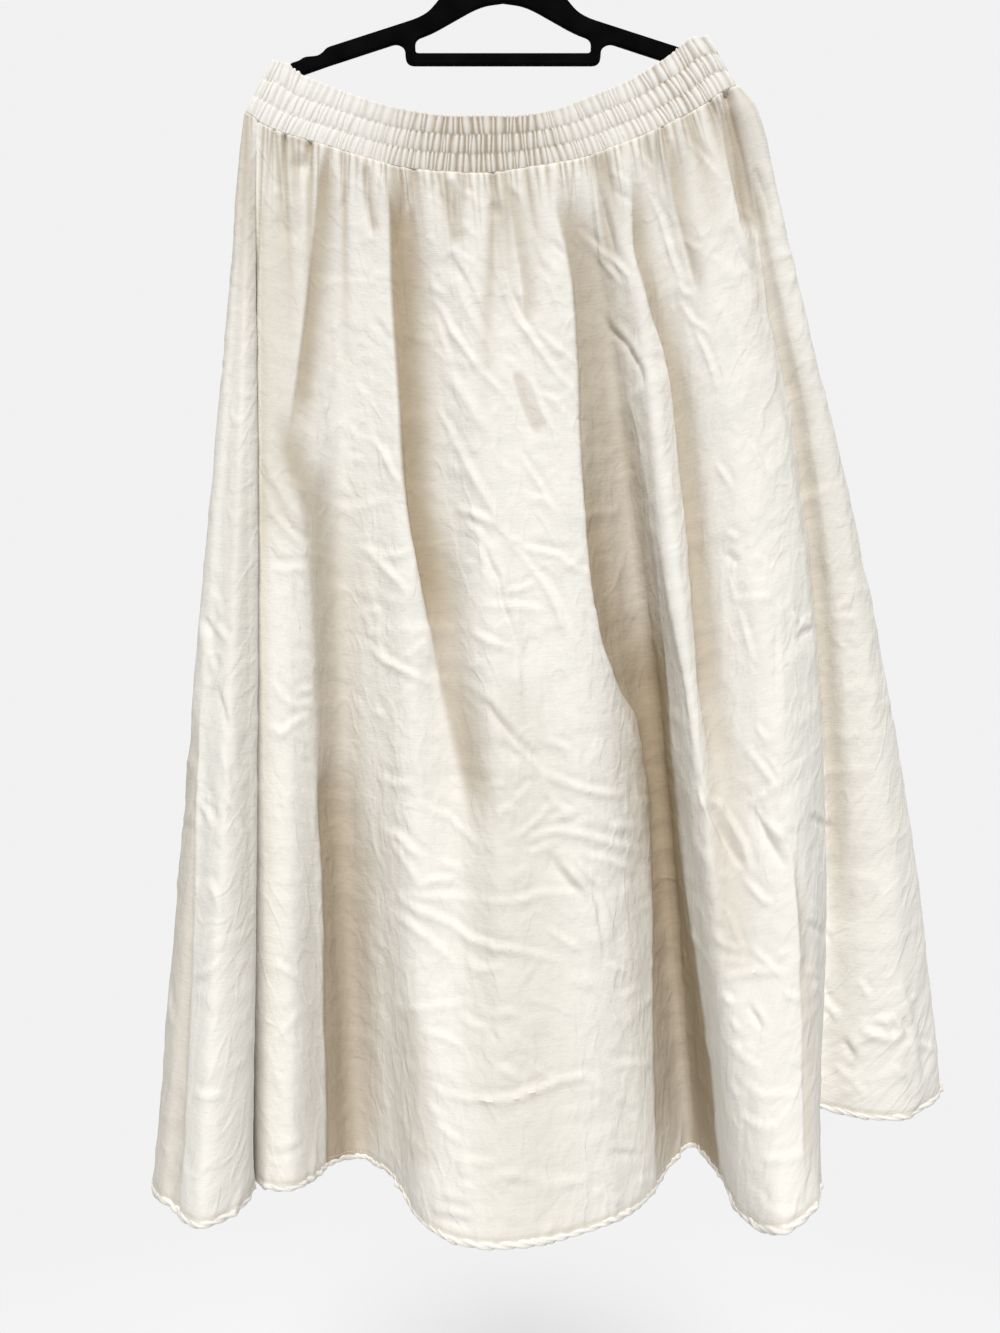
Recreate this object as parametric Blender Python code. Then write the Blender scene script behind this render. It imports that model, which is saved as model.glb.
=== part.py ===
"""A gathered midi skirt on its hanger: one layer of cloth, a wide elastic waistband, a slim hanger.

The skirt hangs from the hanger's hook, whose inner top is the origin. X runs along the hanger to
the right, -Y is the front of the skirt and Z is up. Lengths are metres; the tables hold millimetres.
"""

import math
from collections import namedtuple

import bpy
import numpy as np

MM = 0.001
SEAM_GAP = 0.3 * MM

# The band: three elastic channels, sewn with two rows between them.
BAND_WALL = 2.2 * MM
CHANNELS = 3
CHANNEL_SWELL = 0.8 * MM
BAND_GATHERS = 72
BAND_GATHER_DEPTH = 0.75 * MM
BAND_INNER_AT_ENDS = 2.8 * MM
BAND_INNER_AT_MIDDLE = 8.0 * MM
BAND_END_ROUNDING = 0.018
BAND_SEED = 7
SEAM_GAP_AT_ENDS = 0.6 * MM

# The panels: plain cloth, gathered at the top and rolled at the hem.
CLOTH_WALL = 1.2 * MM
TOP_GATHERS = 20
TOP_GATHER_DEPTH = 1.6 * MM
TOP_GATHER_FADE = 0.075
TOP_LEAD_IN = 0.15
FULLNESS = 3.0 * MM
FULLNESS_AT_RIGHT = 10.0 * MM
FULLNESS_FALL = 0.045
PANEL_COLUMNS = 80
HEM_ROLL_SWELL = 0.9 * MM
HEM_ROLL_SHARE = 0.0055
PANEL_ROWS = (0.0, 0.02, 0.05, 0.09, 0.15, 0.23, 0.33, 0.44, 0.55, 0.66, 0.77, 0.885)

# The hanger: a flat flocked frame with a round wire hook.
HANGER_THICK = 5.0 * MM
HANGER_EDGE_ROUND = 1.0 * MM
HOOK_WIRE_RADIUS = 1.9 * MM
HOOK_INNER_RADIUS = 20.0 * MM
COLLAR_RADIUS = 5.2 * MM
COLLAR_TOP = -112.0 * MM
COLLAR_HEIGHT = 20.0 * MM
COLLAR_BORE_DEPTH = 14.0 * MM

CLOTH_COLOUR = (0.87, 0.84, 0.77)
BAND_COLOUR = (0.84, 0.79, 0.72)
FLOCK_COLOUR = (0.004, 0.004, 0.004)
STEEL_COLOUR = (0.62, 0.62, 0.63)

# One row for each place along the band, from its left end to its right end, in millimetres.
BandSection = namedtuple("BandSection", "top_x top_z foot_x foot_z")
BAND = [
    BandSection(-184, -224, -203, -263),
    BandSection(-171, -225, -190, -273),
    BandSection(-155, -236, -175, -280),
    BandSection(-126, -248, -142, -290),
    BandSection(-98, -258, -111, -300),
    BandSection(-70, -265, -79, -309),
    BandSection(-42, -269, -44, -313),
    BandSection(-13, -269, -13, -314),
    BandSection(14, -269, 17, -310),
    BandSection(43, -263, 57, -303),
    BandSection(71, -252, 88, -292),
    BandSection(100, -239, 121, -278),
    BandSection(127, -222, 152, -262),
    BandSection(148, -206, 173, -248),
    BandSection(163, -205, 185, -243),
]

# One row for each crest, flank and valley, from the left end round the front to the right seam.
# along_band is where it leaves the band, mid is half way down and hem is its foot, in millimetres.
Fold = namedtuple("Fold", "name along_band mid_x mid_y hem_x hem_y hem_z")
FRONT_FOLDS = [
    Fold("left_side", 0.000, -228, -50, -249, -100, -1072),
    Fold("far_left_crest", 0.004, -220, -62, -238, -122, -1070),
    Fold("far_left_crease", 0.008, -213, -66, -229, -128, -1072),
    Fold("left_crest", 0.014, -196, -78, -202, -155, -1074),
    Fold("left_crest_edge", 0.022, -181, -58, -178, -125, -1071),
    Fold("left_deep_valley", 0.032, -186, -12, -184, -45, -1080),
    Fold("second_crest_edge", 0.050, -178, -36, -174, -66, -1080),
    Fold("second_crest", 0.090, -162, -50, -155, -80, -1080),
    Fold("second_crest_flank", 0.160, -146, -32, -132, -22, -1085),
    Fold("first_valley", 0.220, -125, -12, -114, 15, -1094),
    Fold("middle_flank", 0.270, -101, -28, -86, -15, -1096),
    Fold("middle_shoulder", 0.310, -70, -52, -60, -85, -1101),
    Fold("upper_left_valley", 0.335, -39, -40, -32, -114, -1103),
    Fold("middle_crest", 0.430, -8, -62, 2, -121, -1103),
    Fold("upper_middle_valley", 0.530, 27, -55, 38, -113, -1101),
    Fold("middle_right", 0.580, 54, -56, 70, -96, -1099),
    Fold("middle_right_shoulder", 0.625, 76, -44, 102, -65, -1097),
    Fold("second_valley_flank", 0.650, 94, -18, 131, -12, -1092),
    Fold("second_valley", 0.670, 112, 0, 151, 20, -1086),
    Fold("third_crest_flank", 0.690, 124, -26, 163, -36, -1085),
    Fold("third_crest", 0.730, 136, -56, 170, -115, -1087),
    Fold("upper_right_valley", 0.785, 153, -40, 188, -148, -1080),
    Fold("third_crest_edge", 0.860, 194, -60, 214, -132, -1070),
    Fold("third_crest_back", 0.920, 234, -28, 233, -52, -1058),
    Fold("third_valley", 0.960, 251, -6, 247, 6, -1050),
    Fold("right_crest", 0.975, 262, -17, 276, -14, -1050),
    Fold("right_plain", 0.985, 275, -16, 305, -20, -1050),
    Fold("right_crease", 0.992, 284, -9, 326, -9, -1048),
    Fold("right_side", 1.000, 291, 6, 352, 18, -1041),
]
# From the right seam round the back to the left end; along_band still counts from the left.
BACK_FOLDS = [
    Fold("back_right_turn", 0.995, 284, 22, 343, 42, -1040),
    Fold("back_crest_1", 0.960, 262, 34, 312, 58, -1046),
    Fold("back_valley_1", 0.900, 238, 24, 282, 30, -1052),
    Fold("back_crest_2", 0.820, 205, 38, 244, 62, -1058),
    Fold("back_plain_2", 0.760, 178, 38, 208, 62, -1064),
    Fold("back_valley_2", 0.700, 148, 26, 176, 34, -1072),
    Fold("back_crest_3", 0.610, 108, 40, 132, 64, -1080),
    Fold("back_plain_3", 0.540, 70, 40, 88, 64, -1087),
    Fold("back_valley_3", 0.470, 34, 27, 52, 36, -1092),
    Fold("back_crest_4", 0.390, -10, 40, 8, 64, -1094),
    Fold("back_plain_4", 0.330, -46, 40, -36, 64, -1094),
    Fold("back_valley_4", 0.270, -80, 28, -70, 38, -1092),
    Fold("back_crest_5", 0.190, -120, 38, -112, 62, -1088),
    Fold("back_plain_5", 0.140, -148, 37, -148, 60, -1084),
    Fold("back_valley_5", 0.090, -174, 22, -184, 24, -1080),
    Fold("back_crest_6", 0.045, -204, 24, -222, 34, -1074),
    Fold("back_left_turn", 0.012, -224, 4, -250, -20, -1072),
    Fold("back_left_side", 0.004, -230, -26, -255, -62, -1071),
]

# The right half of the hanger's outline, from the collar out along the arm and back under it.
HangerPoint = namedtuple("HangerPoint", "x z")
HANGER_OUTLINE = [
    HangerPoint(7, -112),
    HangerPoint(7, -126),
    HangerPoint(10, -136),
    HangerPoint(19, -145),
    HangerPoint(34, -155),
    HangerPoint(45, -165),
    HangerPoint(52, -175),
    HangerPoint(59, -183),
    HangerPoint(68, -188),
    HangerPoint(102, -199.5),
    HangerPoint(139, -211),
    HangerPoint(142, -214.5),
    HangerPoint(146, -217.5),
    HangerPoint(152, -219),
    HangerPoint(157, -219),
    HangerPoint(160, -221),
    HangerPoint(166, -223),
    HangerPoint(171, -226),
    HangerPoint(173, -230),
    HangerPoint(171, -234),
    HangerPoint(166, -235),
    HangerPoint(159, -232),
    HangerPoint(139, -225.5),
    HangerPoint(110, -216.5),
    HangerPoint(85, -209),
    HangerPoint(79, -211),
    HangerPoint(77, -216),
    HangerPoint(76, -221),
    HangerPoint(73, -224),
    HangerPoint(69, -225),
]
# The right half of the opening inside the shoulders and above the tie bar.
HANGER_OPENING = [
    HangerPoint(0, -175.5),
    HangerPoint(8, -176),
    HangerPoint(18, -178.5),
    HangerPoint(31, -184),
    HangerPoint(44, -192),
    HangerPoint(56, -199.5),
    HangerPoint(66, -204),
    HangerPoint(69, -207),
    HangerPoint(70, -212),
    HangerPoint(67, -215.5),
]
# The wire of the hook below its arc, from inside the collar to where the arc begins.
HookPoint = namedtuple("HookPoint", "x z")
HOOK_SHANK = [
    HookPoint(0, -125),
    HookPoint(0, -104),
    HookPoint(0, -84),
    HookPoint(0.8, -72),
    HookPoint(4.5, -60),
    HookPoint(11, -48),
]
HOOK_ARC_FROM = -38
HOOK_ARC_TO = 205
HOOK_ARC_STEP = 13.5


def clear_scene():
    for old in list(bpy.data.objects):
        bpy.data.objects.remove(old, do_unlink=True)


def material(name, colour, roughness, metallic=0.0):
    made = bpy.data.materials.new(name)
    made.use_nodes = True
    shader = made.node_tree.nodes["Principled BSDF"]
    shader.inputs["Base Color"].default_value = (*colour, 1.0)
    shader.inputs["Roughness"].default_value = roughness
    shader.inputs["Metallic"].default_value = metallic
    return made


def smooth_through(points, place):
    """A point of the smooth curve through these points, at place counted in points from the first."""
    first = min(max(int(math.floor(place)), 0), len(points) - 2)
    share = place - first
    before = points[max(first - 1, 0)]
    start = points[first]
    end = points[first + 1]
    after = points[min(first + 2, len(points) - 1)]
    return 0.5 * (
        2 * start
        + (end - before) * share
        + (2 * before - 5 * start + 4 * end - after) * share**2
        + (3 * start - before - 3 * end + after) * share**3
    )


def band_shares():
    """How far along the band's foot each row of the table lies, from 0 to 1."""
    foot = np.array([(row.foot_x, row.foot_z) for row in BAND])
    steps = np.linalg.norm(np.diff(foot, axis=0), axis=1)
    return np.concatenate([[0.0], np.cumsum(steps)]) / steps.sum()


BAND_ROWS = np.array(BAND, dtype=float) * MM
BAND_SHARES = band_shares()


def band_point(along, down, side, depth_from_face=0.0):
    """A point on the band's outer face: along 0..1 from its left end, down 0..1 to its foot.

    side is -1 for the front half and +1 for the back half.
    """
    place = float(np.interp(along, BAND_SHARES, np.arange(len(BAND))))
    row = smooth_through(BAND_ROWS, place)
    x = row[0] + (row[2] - row[0]) * down
    z = row[1] + (row[3] - row[1]) * down
    middle = math.sin(math.pi * along) ** 2
    inner = BAND_INNER_AT_ENDS + (BAND_INNER_AT_MIDDLE - BAND_INNER_AT_ENDS) * middle
    nearest_end = min(along, 1.0 - along)
    from_end = min(nearest_end / BAND_END_ROUNDING, 1.0)
    rounding = math.sqrt(max(0.0, 1.0 - (1.0 - from_end) ** 2))
    inset = depth_from_face * (1.0 - rounding) * (1.0 if along < 0.5 else -1.0)
    y = side * (inner + BAND_WALL - depth_from_face) * rounding
    return np.array([x + inset, y, z])


def waist_point(along, side):
    """Where the panel's cloth leaves the band: under its foot, half way through its wall."""
    point = band_point(along, 1.0, side, 0.5 * (BAND_WALL - CLOTH_WALL))
    nearest_end = min(along, 1.0 - along)
    point[2] -= SEAM_GAP + SEAM_GAP_AT_ENDS * math.exp(-nearest_end / BAND_END_ROUNDING)
    return point


def fold_line(fold, side):
    """The three points that a fold's line runs through: at the band, half way down, and at the hem."""
    waist = waist_point(fold.along_band, side)
    hem = np.array([fold.hem_x, fold.hem_y, fold.hem_z]) * MM
    middle = np.array([fold.mid_x * MM, fold.mid_y * MM, 0.5 * (waist[2] + hem[2])])
    return waist, middle, hem


FOLD_LINES = [fold_line(fold, -1) for fold in FRONT_FOLDS] + [fold_line(fold, 1) for fold in BACK_FOLDS]
FOLD_ALONGS = [fold.along_band for fold in FRONT_FOLDS + BACK_FOLDS + FRONT_FOLDS[:1]]
FOLD_COUNT = len(FOLD_LINES)
RIGHT_SEAM = len(FRONT_FOLDS) - 1
# The left seam lies in the deep valley behind the far left folds, which belong to the back panel.
LEFT_SEAM = [fold.name for fold in FRONT_FOLDS].index("left_deep_valley")


def at_height(line, down):
    """A point on a fold's line: down is 0 at the band and 1 at the hem."""
    waist, middle, hem = line
    return (
        waist * (1 - down) * (1 - 2 * down)
        + middle * 4 * down * (1 - down)
        + hem * down * (2 * down - 1)
    )


def level(direction):
    """The same direction laid level, so that edges which face each other stay apart."""
    flat = np.array([direction[0], direction[1], 0.0])
    return flat / np.linalg.norm(flat)


def between_lines(around, down):
    """A point of the smooth curve round the skirt: around counts fold lines from the left end."""
    first = math.floor(around)
    share = around - first
    four = [at_height(FOLD_LINES[(first + step) % FOLD_COUNT], down) for step in (-1, 0, 1, 2)]
    knots = [0.0]
    for one, other in zip(four, four[1:]):
        knots.append(knots[-1] + max(math.hypot(*(other - one)[:2]), 1e-6) ** 0.5)
    t0, t1, t2, t3 = knots
    t = t1 + (t2 - t1) * share
    a1 = (four[0] * (t1 - t) + four[1] * (t - t0)) / (t1 - t0)
    a2 = (four[1] * (t2 - t) + four[2] * (t - t1)) / (t2 - t1)
    a3 = (four[2] * (t3 - t) + four[3] * (t - t2)) / (t3 - t2)
    b1 = (a1 * (t2 - t) + a2 * (t - t0)) / (t2 - t0)
    b2 = (a2 * (t3 - t) + a3 * (t - t1)) / (t3 - t1)
    return (b1 * (t2 - t) + b2 * (t - t1)) / (t2 - t1)


def band_foot_at(around):
    """The place under the band's foot that the cloth at this place round the skirt is sewn to."""
    around = around % FOLD_COUNT
    along = float(np.interp(around, np.arange(len(FOLD_ALONGS)), FOLD_ALONGS))
    return waist_point(along, -1 if around <= RIGHT_SEAM else 1)


def draped_point(around, down):
    """The skirt's outer face before its small gathers, led exactly to the band's foot at its top."""
    point = between_lines(around, down)
    if down < TOP_LEAD_IN:
        share = (1.0 - down / TOP_LEAD_IN) ** 2
        point = point + share * (band_foot_at(around) - between_lines(around, 0.0))
    return point


def outward(around, down):
    """The direction straight out of the cloth."""
    step = 0.02
    along = draped_point(around + step, down) - draped_point(around - step, down)
    top = max(down - step, 0.0)
    foot = min(down + step, 1.0)
    fall = draped_point(around, foot) - draped_point(around, top)
    normal = np.cross(fall, along)
    return normal / np.linalg.norm(normal)


def fullness(around, down):
    """How far the gathered cloth puffs out just below the band, most at the right end."""
    rise = down / FULLNESS_FALL * math.exp(1.0 - down / FULLNESS_FALL)
    to_right = math.exp(-(((around - RIGHT_SEAM) / 2.5) ** 2))
    from_valley = min(abs(around - LEFT_SEAM), abs(around - FOLD_COUNT - LEFT_SEAM))
    in_valley = math.exp(-((from_valley / 2.5) ** 2))
    return rise * (FULLNESS * (1.0 - in_valley) + (FULLNESS_AT_RIGHT - FULLNESS) * to_right)


def columns_between(start, end, count):
    """Places round the skirt, spaced by the length of cloth between them half way down and at the hem."""
    fine = np.linspace(start, end, 12 * (end - start) + 1)
    lengths = np.zeros(len(fine) - 1)
    for down in (0.1, 0.5, 1.0):
        points = np.array([draped_point(place, down) for place in fine])
        steps = np.linalg.norm(np.diff(points, axis=0), axis=1)
        lengths += steps / steps.sum()
    run = np.concatenate([[0.0], np.cumsum(lengths)])
    return np.interp(np.linspace(0.0, run[-1], count + 1), run, fine)


def closed_wall(outer, inner):
    """One closed body from two grids of points, rows by columns, with its four edges sewn shut.

    The grids have the same columns; a plain inside may have fewer rows.
    """
    columns = outer.shape[1]
    grids = (outer, inner)
    firsts = (0, outer.shape[0] * columns)
    points = np.concatenate([grid.reshape(-1, 3) for grid in grids])
    faces = []
    for grid, first, turned in zip(grids, firsts, (False, True)):
        for row in range(grid.shape[0] - 1):
            for column in range(columns - 1):
                a = first + row * columns + column
                face = (a, a + columns, a + columns + 1, a + 1)
                faces.append(face[::-1] if turned else face)
    feet = [first + (grid.shape[0] - 1) * columns for grid, first in zip(grids, firsts)]
    for column in range(columns - 1):
        a, b = column, firsts[1] + column
        faces.append((a, a + 1, b + 1, b))
        a, b = feet[0] + column, feet[1] + column
        faces.append((a + 1, a, b, b + 1))
    for column, turned in ((0, False), (columns - 1, True)):
        rim = [row * columns + column for row in range(outer.shape[0])][::-1]
        rim += [firsts[1] + row * columns + column for row in range(inner.shape[0])]
        if outer.shape[0] == inner.shape[0]:
            pairs = zip(rim, rim[1:], rim[::-1], rim[-2::-1])
            strips = [(a, b, d, c) for a, b, c, d in list(pairs)[: outer.shape[0] - 1]]
        else:
            strips = [tuple(rim)]
        faces += [face[::-1] if turned else face for face in strips]
    return points, faces


def add_object(name, points, faces, look):
    mesh = bpy.data.meshes.new(name)
    mesh.from_pydata([tuple(point) for point in points], [], faces)
    mesh.update()
    mesh.shade_smooth()
    mesh.materials.append(look)
    made = bpy.data.objects.new(name, mesh)
    bpy.context.scene.collection.objects.link(made)
    return made


def panel(name, start, end, look):
    """One panel, from one side seam to the other, as a wall with its gathers and its rolled hem."""
    columns = PANEL_COLUMNS
    places = columns_between(start, end, columns)
    roll_rows = (1.0 - HEM_ROLL_SHARE, 1.0 - 0.5 * HEM_ROLL_SHARE, 1.0)
    swells = {roll_rows[1]: HEM_ROLL_SWELL, roll_rows[2]: 0.35 * HEM_ROLL_SWELL}
    rows = PANEL_ROWS + roll_rows
    outer = np.zeros((len(rows), len(places), 3))
    inner = np.zeros_like(outer)
    for i, down in enumerate(rows):
        swell = swells.get(down, 0.0)
        fade = math.exp(-down / TOP_GATHER_FADE) * min(1.0, 0.35 + down / 0.02)
        for j, around in enumerate(places):
            point = draped_point(around, down)
            normal = outward(around, down)
            if down == 0.0:
                normal = level(normal)
            if j in (0, columns):
                neighbour = draped_point(around + (0.05 if j == 0 else -0.05), down)
                inwards = neighbour - point
                point = point + 0.5 * SEAM_GAP * inwards / np.linalg.norm(inwards)
            ruffle = math.sin(2 * math.pi * TOP_GATHERS * j / columns)
            at_seam = min(j, columns - j) / 3
            rise = fullness(around, down) + TOP_GATHER_DEPTH * fade * ruffle * min(1.0, at_seam)
            outer[i, j] = point + normal * (rise + swell)
            inner[i, j] = point + normal * (rise - CLOTH_WALL - swell)
    points, faces = closed_wall(outer, inner)
    return add_object(name, points, faces, look)


def band_half(name, side, look):
    """Half of the waistband: a plain inside, and outside three swollen channels with their gathers."""
    generator = np.random.default_rng(BAND_SEED + side)
    columns = 2 * BAND_GATHERS
    uneven = generator.uniform(-0.28, 0.28, columns + 1)
    uneven[[0, -1]] = 0.0
    alongs = (np.arange(columns + 1) + uneven) / columns
    depths = generator.uniform(0.55, 1.25, columns + 1) * BAND_GATHER_DEPTH
    downs = [step / (2 * CHANNELS) for step in range(2 * CHANNELS + 1)]
    edge = 0.5 * SEAM_GAP
    outer = np.zeros((len(downs), columns + 1, 3))
    inner = np.zeros((2, columns + 1, 3))
    step = 0.002
    for i, down in enumerate(downs):
        mid_channel = i % 2 == 1
        for j, along in enumerate(alongs):
            point = band_point(along, down, side)
            before = band_point(max(along - step, 0.0), down, side)
            after = band_point(min(along + step, 1.0), down, side)
            run = after - before
            fall = band_point(along, 1.0, side) - band_point(along, 0.0, side)
            normal = level(np.cross(fall, run) * -side)
            if j in (0, columns):
                normal = np.array([-1.0 if j == 0 else 1.0, 0.0, 0.0])
                point = point + np.array([0.0, side * edge, 0.0])
            crest = 1.0 if j % 2 else -1.0
            at_end = min(1.0, min(j, columns - j) / 4)
            gather = crest * depths[j] * at_end * (1.0 if mid_channel else 0.7)
            swell = CHANNEL_SWELL * at_end if mid_channel else 0.0
            outer[i, j] = point + normal * (swell + gather)
            if down in (0.0, 1.0):
                inner[int(down), j] = point - normal * BAND_WALL
    if side > 0:
        outer = outer[:, ::-1]
        inner = inner[:, ::-1]
    points, faces = closed_wall(outer, inner)
    return add_object(name, points, faces, look)


def flat_outline(name, outlines, thick, rounding):
    """A flat plate from closed outlines, holes included, with its edges rounded."""
    curve = bpy.data.curves.new(name, "CURVE")
    curve.dimensions = "2D"
    curve.fill_mode = "BOTH"
    curve.extrude = 0.5 * thick - rounding
    curve.bevel_depth = rounding
    curve.bevel_resolution = 0
    curve.offset = -rounding
    for outline in outlines:
        spline = curve.splines.new("POLY")
        spline.points.add(len(outline) - 1)
        for point, (x, z) in zip(spline.points, outline):
            point.co = (x, z, 0.0, 1.0)
        spline.use_cyclic_u = True
    made = bpy.data.objects.new(name, curve)
    made.rotation_euler = (math.pi / 2, 0.0, 0.0)
    bpy.context.scene.collection.objects.link(made)
    return made


def mirrored(points):
    """The whole outline from its right half, in metres."""
    right = [(point.x * MM, point.z * MM) for point in points]
    left = [(-x, z) for x, z in reversed(right) if x != 0]
    return right + left


def helper_cylinder(name, radius, top, bottom):
    """A hidden upright cylinder on the hook's axis, for joining or cutting."""
    sides = 24
    ring = [2 * math.pi * k / sides for k in range(sides)]
    points = [(radius * math.cos(a), radius * math.sin(a), z) for z in (bottom, top) for a in ring]
    faces = [tuple(reversed(range(sides))), tuple(range(sides, 2 * sides))]
    faces += [(k, (k + 1) % sides, sides + (k + 1) % sides, sides + k) for k in range(sides)]
    mesh = bpy.data.meshes.new(name)
    mesh.from_pydata(points, [], faces)
    made = bpy.data.objects.new(name, mesh)
    made.hide_render = True
    made.display_type = "WIRE"
    bpy.context.scene.collection.objects.link(made)
    return made


def mesh_copy(source, name, look):
    """The evaluated shape of an object as a mesh object in its place, with its doubles merged."""
    graph = bpy.context.evaluated_depsgraph_get()
    mesh = bpy.data.meshes.new_from_object(source.evaluated_get(graph))
    mesh.transform(source.matrix_world)
    mesh.name = name
    mesh.materials.clear()
    mesh.materials.append(look)
    bpy.data.objects.remove(source, do_unlink=True)
    made = bpy.data.objects.new(name, mesh)
    bpy.context.scene.collection.objects.link(made)
    return made


def hanger_frame(look):
    """Arms, strap notches, tie bar and the collar that the hook turns in."""
    outlines = [mirrored(HANGER_OUTLINE), mirrored(HANGER_OPENING)]
    plate = flat_outline("frame_plate", outlines, HANGER_THICK, HANGER_EDGE_ROUND)
    bpy.context.view_layer.update()
    frame = mesh_copy(plate, "hanger_frame", look)
    weld = frame.modifiers.new("weld", "WELD")
    weld.merge_threshold = 0.00001
    collar = helper_cylinder("collar", COLLAR_RADIUS, COLLAR_TOP, COLLAR_TOP - COLLAR_HEIGHT)
    bore_radius = HOOK_WIRE_RADIUS + SEAM_GAP
    bore = helper_cylinder("collar_bore", bore_radius, COLLAR_TOP + 5 * MM, COLLAR_TOP - COLLAR_BORE_DEPTH)
    for operation, helper in (("UNION", collar), ("DIFFERENCE", bore)):
        cut = frame.modifiers.new(operation.lower(), "BOOLEAN")
        cut.operation = operation
        cut.object = helper
    return frame


def hanger_hook(look):
    """The wire hook: a straight shank in the collar, then most of a circle, open to the left."""
    radius = HOOK_INNER_RADIUS + HOOK_WIRE_RADIUS
    arc_count = round((HOOK_ARC_TO - HOOK_ARC_FROM) / HOOK_ARC_STEP)
    route = [(point.x * MM, point.z * MM) for point in HOOK_SHANK]
    for step in range(arc_count + 1):
        angle = math.radians(HOOK_ARC_FROM + step * HOOK_ARC_STEP)
        route.append((radius * math.cos(angle), radius * math.sin(angle) - HOOK_INNER_RADIUS))
    bends = np.array(route)
    count = 2 * (len(route) - 1)
    path = [smooth_through(bends, step / 2) for step in range(count + 1)]
    curve = bpy.data.curves.new("hanger_hook", "CURVE")
    curve.dimensions = "3D"
    curve.bevel_depth = HOOK_WIRE_RADIUS
    curve.bevel_resolution = 2
    curve.use_fill_caps = True
    spline = curve.splines.new("POLY")
    spline.points.add(len(path) - 1)
    for point, (x, z) in zip(spline.points, path):
        point.co = (x, 0.0, z, 1.0)
    spline.use_smooth = True
    curve.materials.append(look)
    made = bpy.data.objects.new("hanger_hook", curve)
    bpy.context.scene.collection.objects.link(made)
    return made


clear_scene()
cloth = material("ivory_cloth", CLOTH_COLOUR, 0.9)
shirred = material("shirred_cloth", BAND_COLOUR, 0.9)
flock = material("black_flock", FLOCK_COLOUR, 0.95)
steel = material("bright_steel", STEEL_COLOUR, 0.25, 1.0)
panel("skirt_front", LEFT_SEAM, RIGHT_SEAM, cloth)
panel("skirt_back", RIGHT_SEAM, FOLD_COUNT + LEFT_SEAM, cloth)
band_half("waistband_front", -1, shirred)
band_half("waistband_back", 1, shirred)
hanger_frame(flock)
hanger_hook(steel)
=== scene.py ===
"""The looks of a gathered midi skirt on its hanger: one layer of washed ivory cloth with all its creases.

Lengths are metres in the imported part's own frame; the tables hold millimetres. X runs to the right
along the hanger, -Y is the front and Z is up, with the inner top of the hook at the origin.
"""

import math
from collections import namedtuple

import bmesh
import bpy
import numpy as np
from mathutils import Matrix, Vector


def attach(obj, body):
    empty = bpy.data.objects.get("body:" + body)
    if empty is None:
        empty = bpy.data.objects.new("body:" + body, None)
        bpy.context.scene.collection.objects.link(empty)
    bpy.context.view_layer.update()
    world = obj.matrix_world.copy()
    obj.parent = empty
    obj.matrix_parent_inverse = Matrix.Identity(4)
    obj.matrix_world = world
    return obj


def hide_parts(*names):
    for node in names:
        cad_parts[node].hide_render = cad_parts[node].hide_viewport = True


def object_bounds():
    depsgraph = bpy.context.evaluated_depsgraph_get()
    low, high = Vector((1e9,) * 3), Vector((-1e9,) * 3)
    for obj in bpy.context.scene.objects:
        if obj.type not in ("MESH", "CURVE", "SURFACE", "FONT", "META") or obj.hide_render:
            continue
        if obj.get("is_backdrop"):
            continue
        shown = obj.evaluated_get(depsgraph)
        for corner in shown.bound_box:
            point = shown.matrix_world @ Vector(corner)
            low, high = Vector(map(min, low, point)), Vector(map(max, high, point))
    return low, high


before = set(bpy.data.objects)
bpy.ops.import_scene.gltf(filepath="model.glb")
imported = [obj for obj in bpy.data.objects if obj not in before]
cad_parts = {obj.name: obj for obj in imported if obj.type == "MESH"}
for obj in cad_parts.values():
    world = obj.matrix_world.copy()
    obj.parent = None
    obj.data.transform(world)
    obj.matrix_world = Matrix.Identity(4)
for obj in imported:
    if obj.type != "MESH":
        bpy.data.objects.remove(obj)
cad_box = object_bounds()
MM = 0.001

# The camera stands level with the middle of the skirt and 1 m in front of the hanger, where the
# photographer stood. Its picture is as high as the skirt and the lower part of the hanger.
CAMERA_DISTANCE = 1.0
CAMERA_PLACE = (-2.4 * MM, -CAMERA_DISTANCE, -699.5 * MM)
FRAME_HEIGHT_AT_HANGER = 1.053
camera_data = bpy.data.cameras.new("front_camera")
camera_data.sensor_fit = "VERTICAL"
camera_data.angle = 2 * math.atan(0.5 * FRAME_HEIGHT_AT_HANGER / CAMERA_DISTANCE)
camera_data.clip_start = 0.05
camera_data.clip_end = 60.0
camera = bpy.data.objects.new("front_camera", camera_data)
camera.location = CAMERA_PLACE
camera.rotation_euler = (math.pi / 2, 0.0, 0.0)
bpy.context.scene.collection.objects.link(camera)
bpy.context.scene.camera = camera

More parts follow.
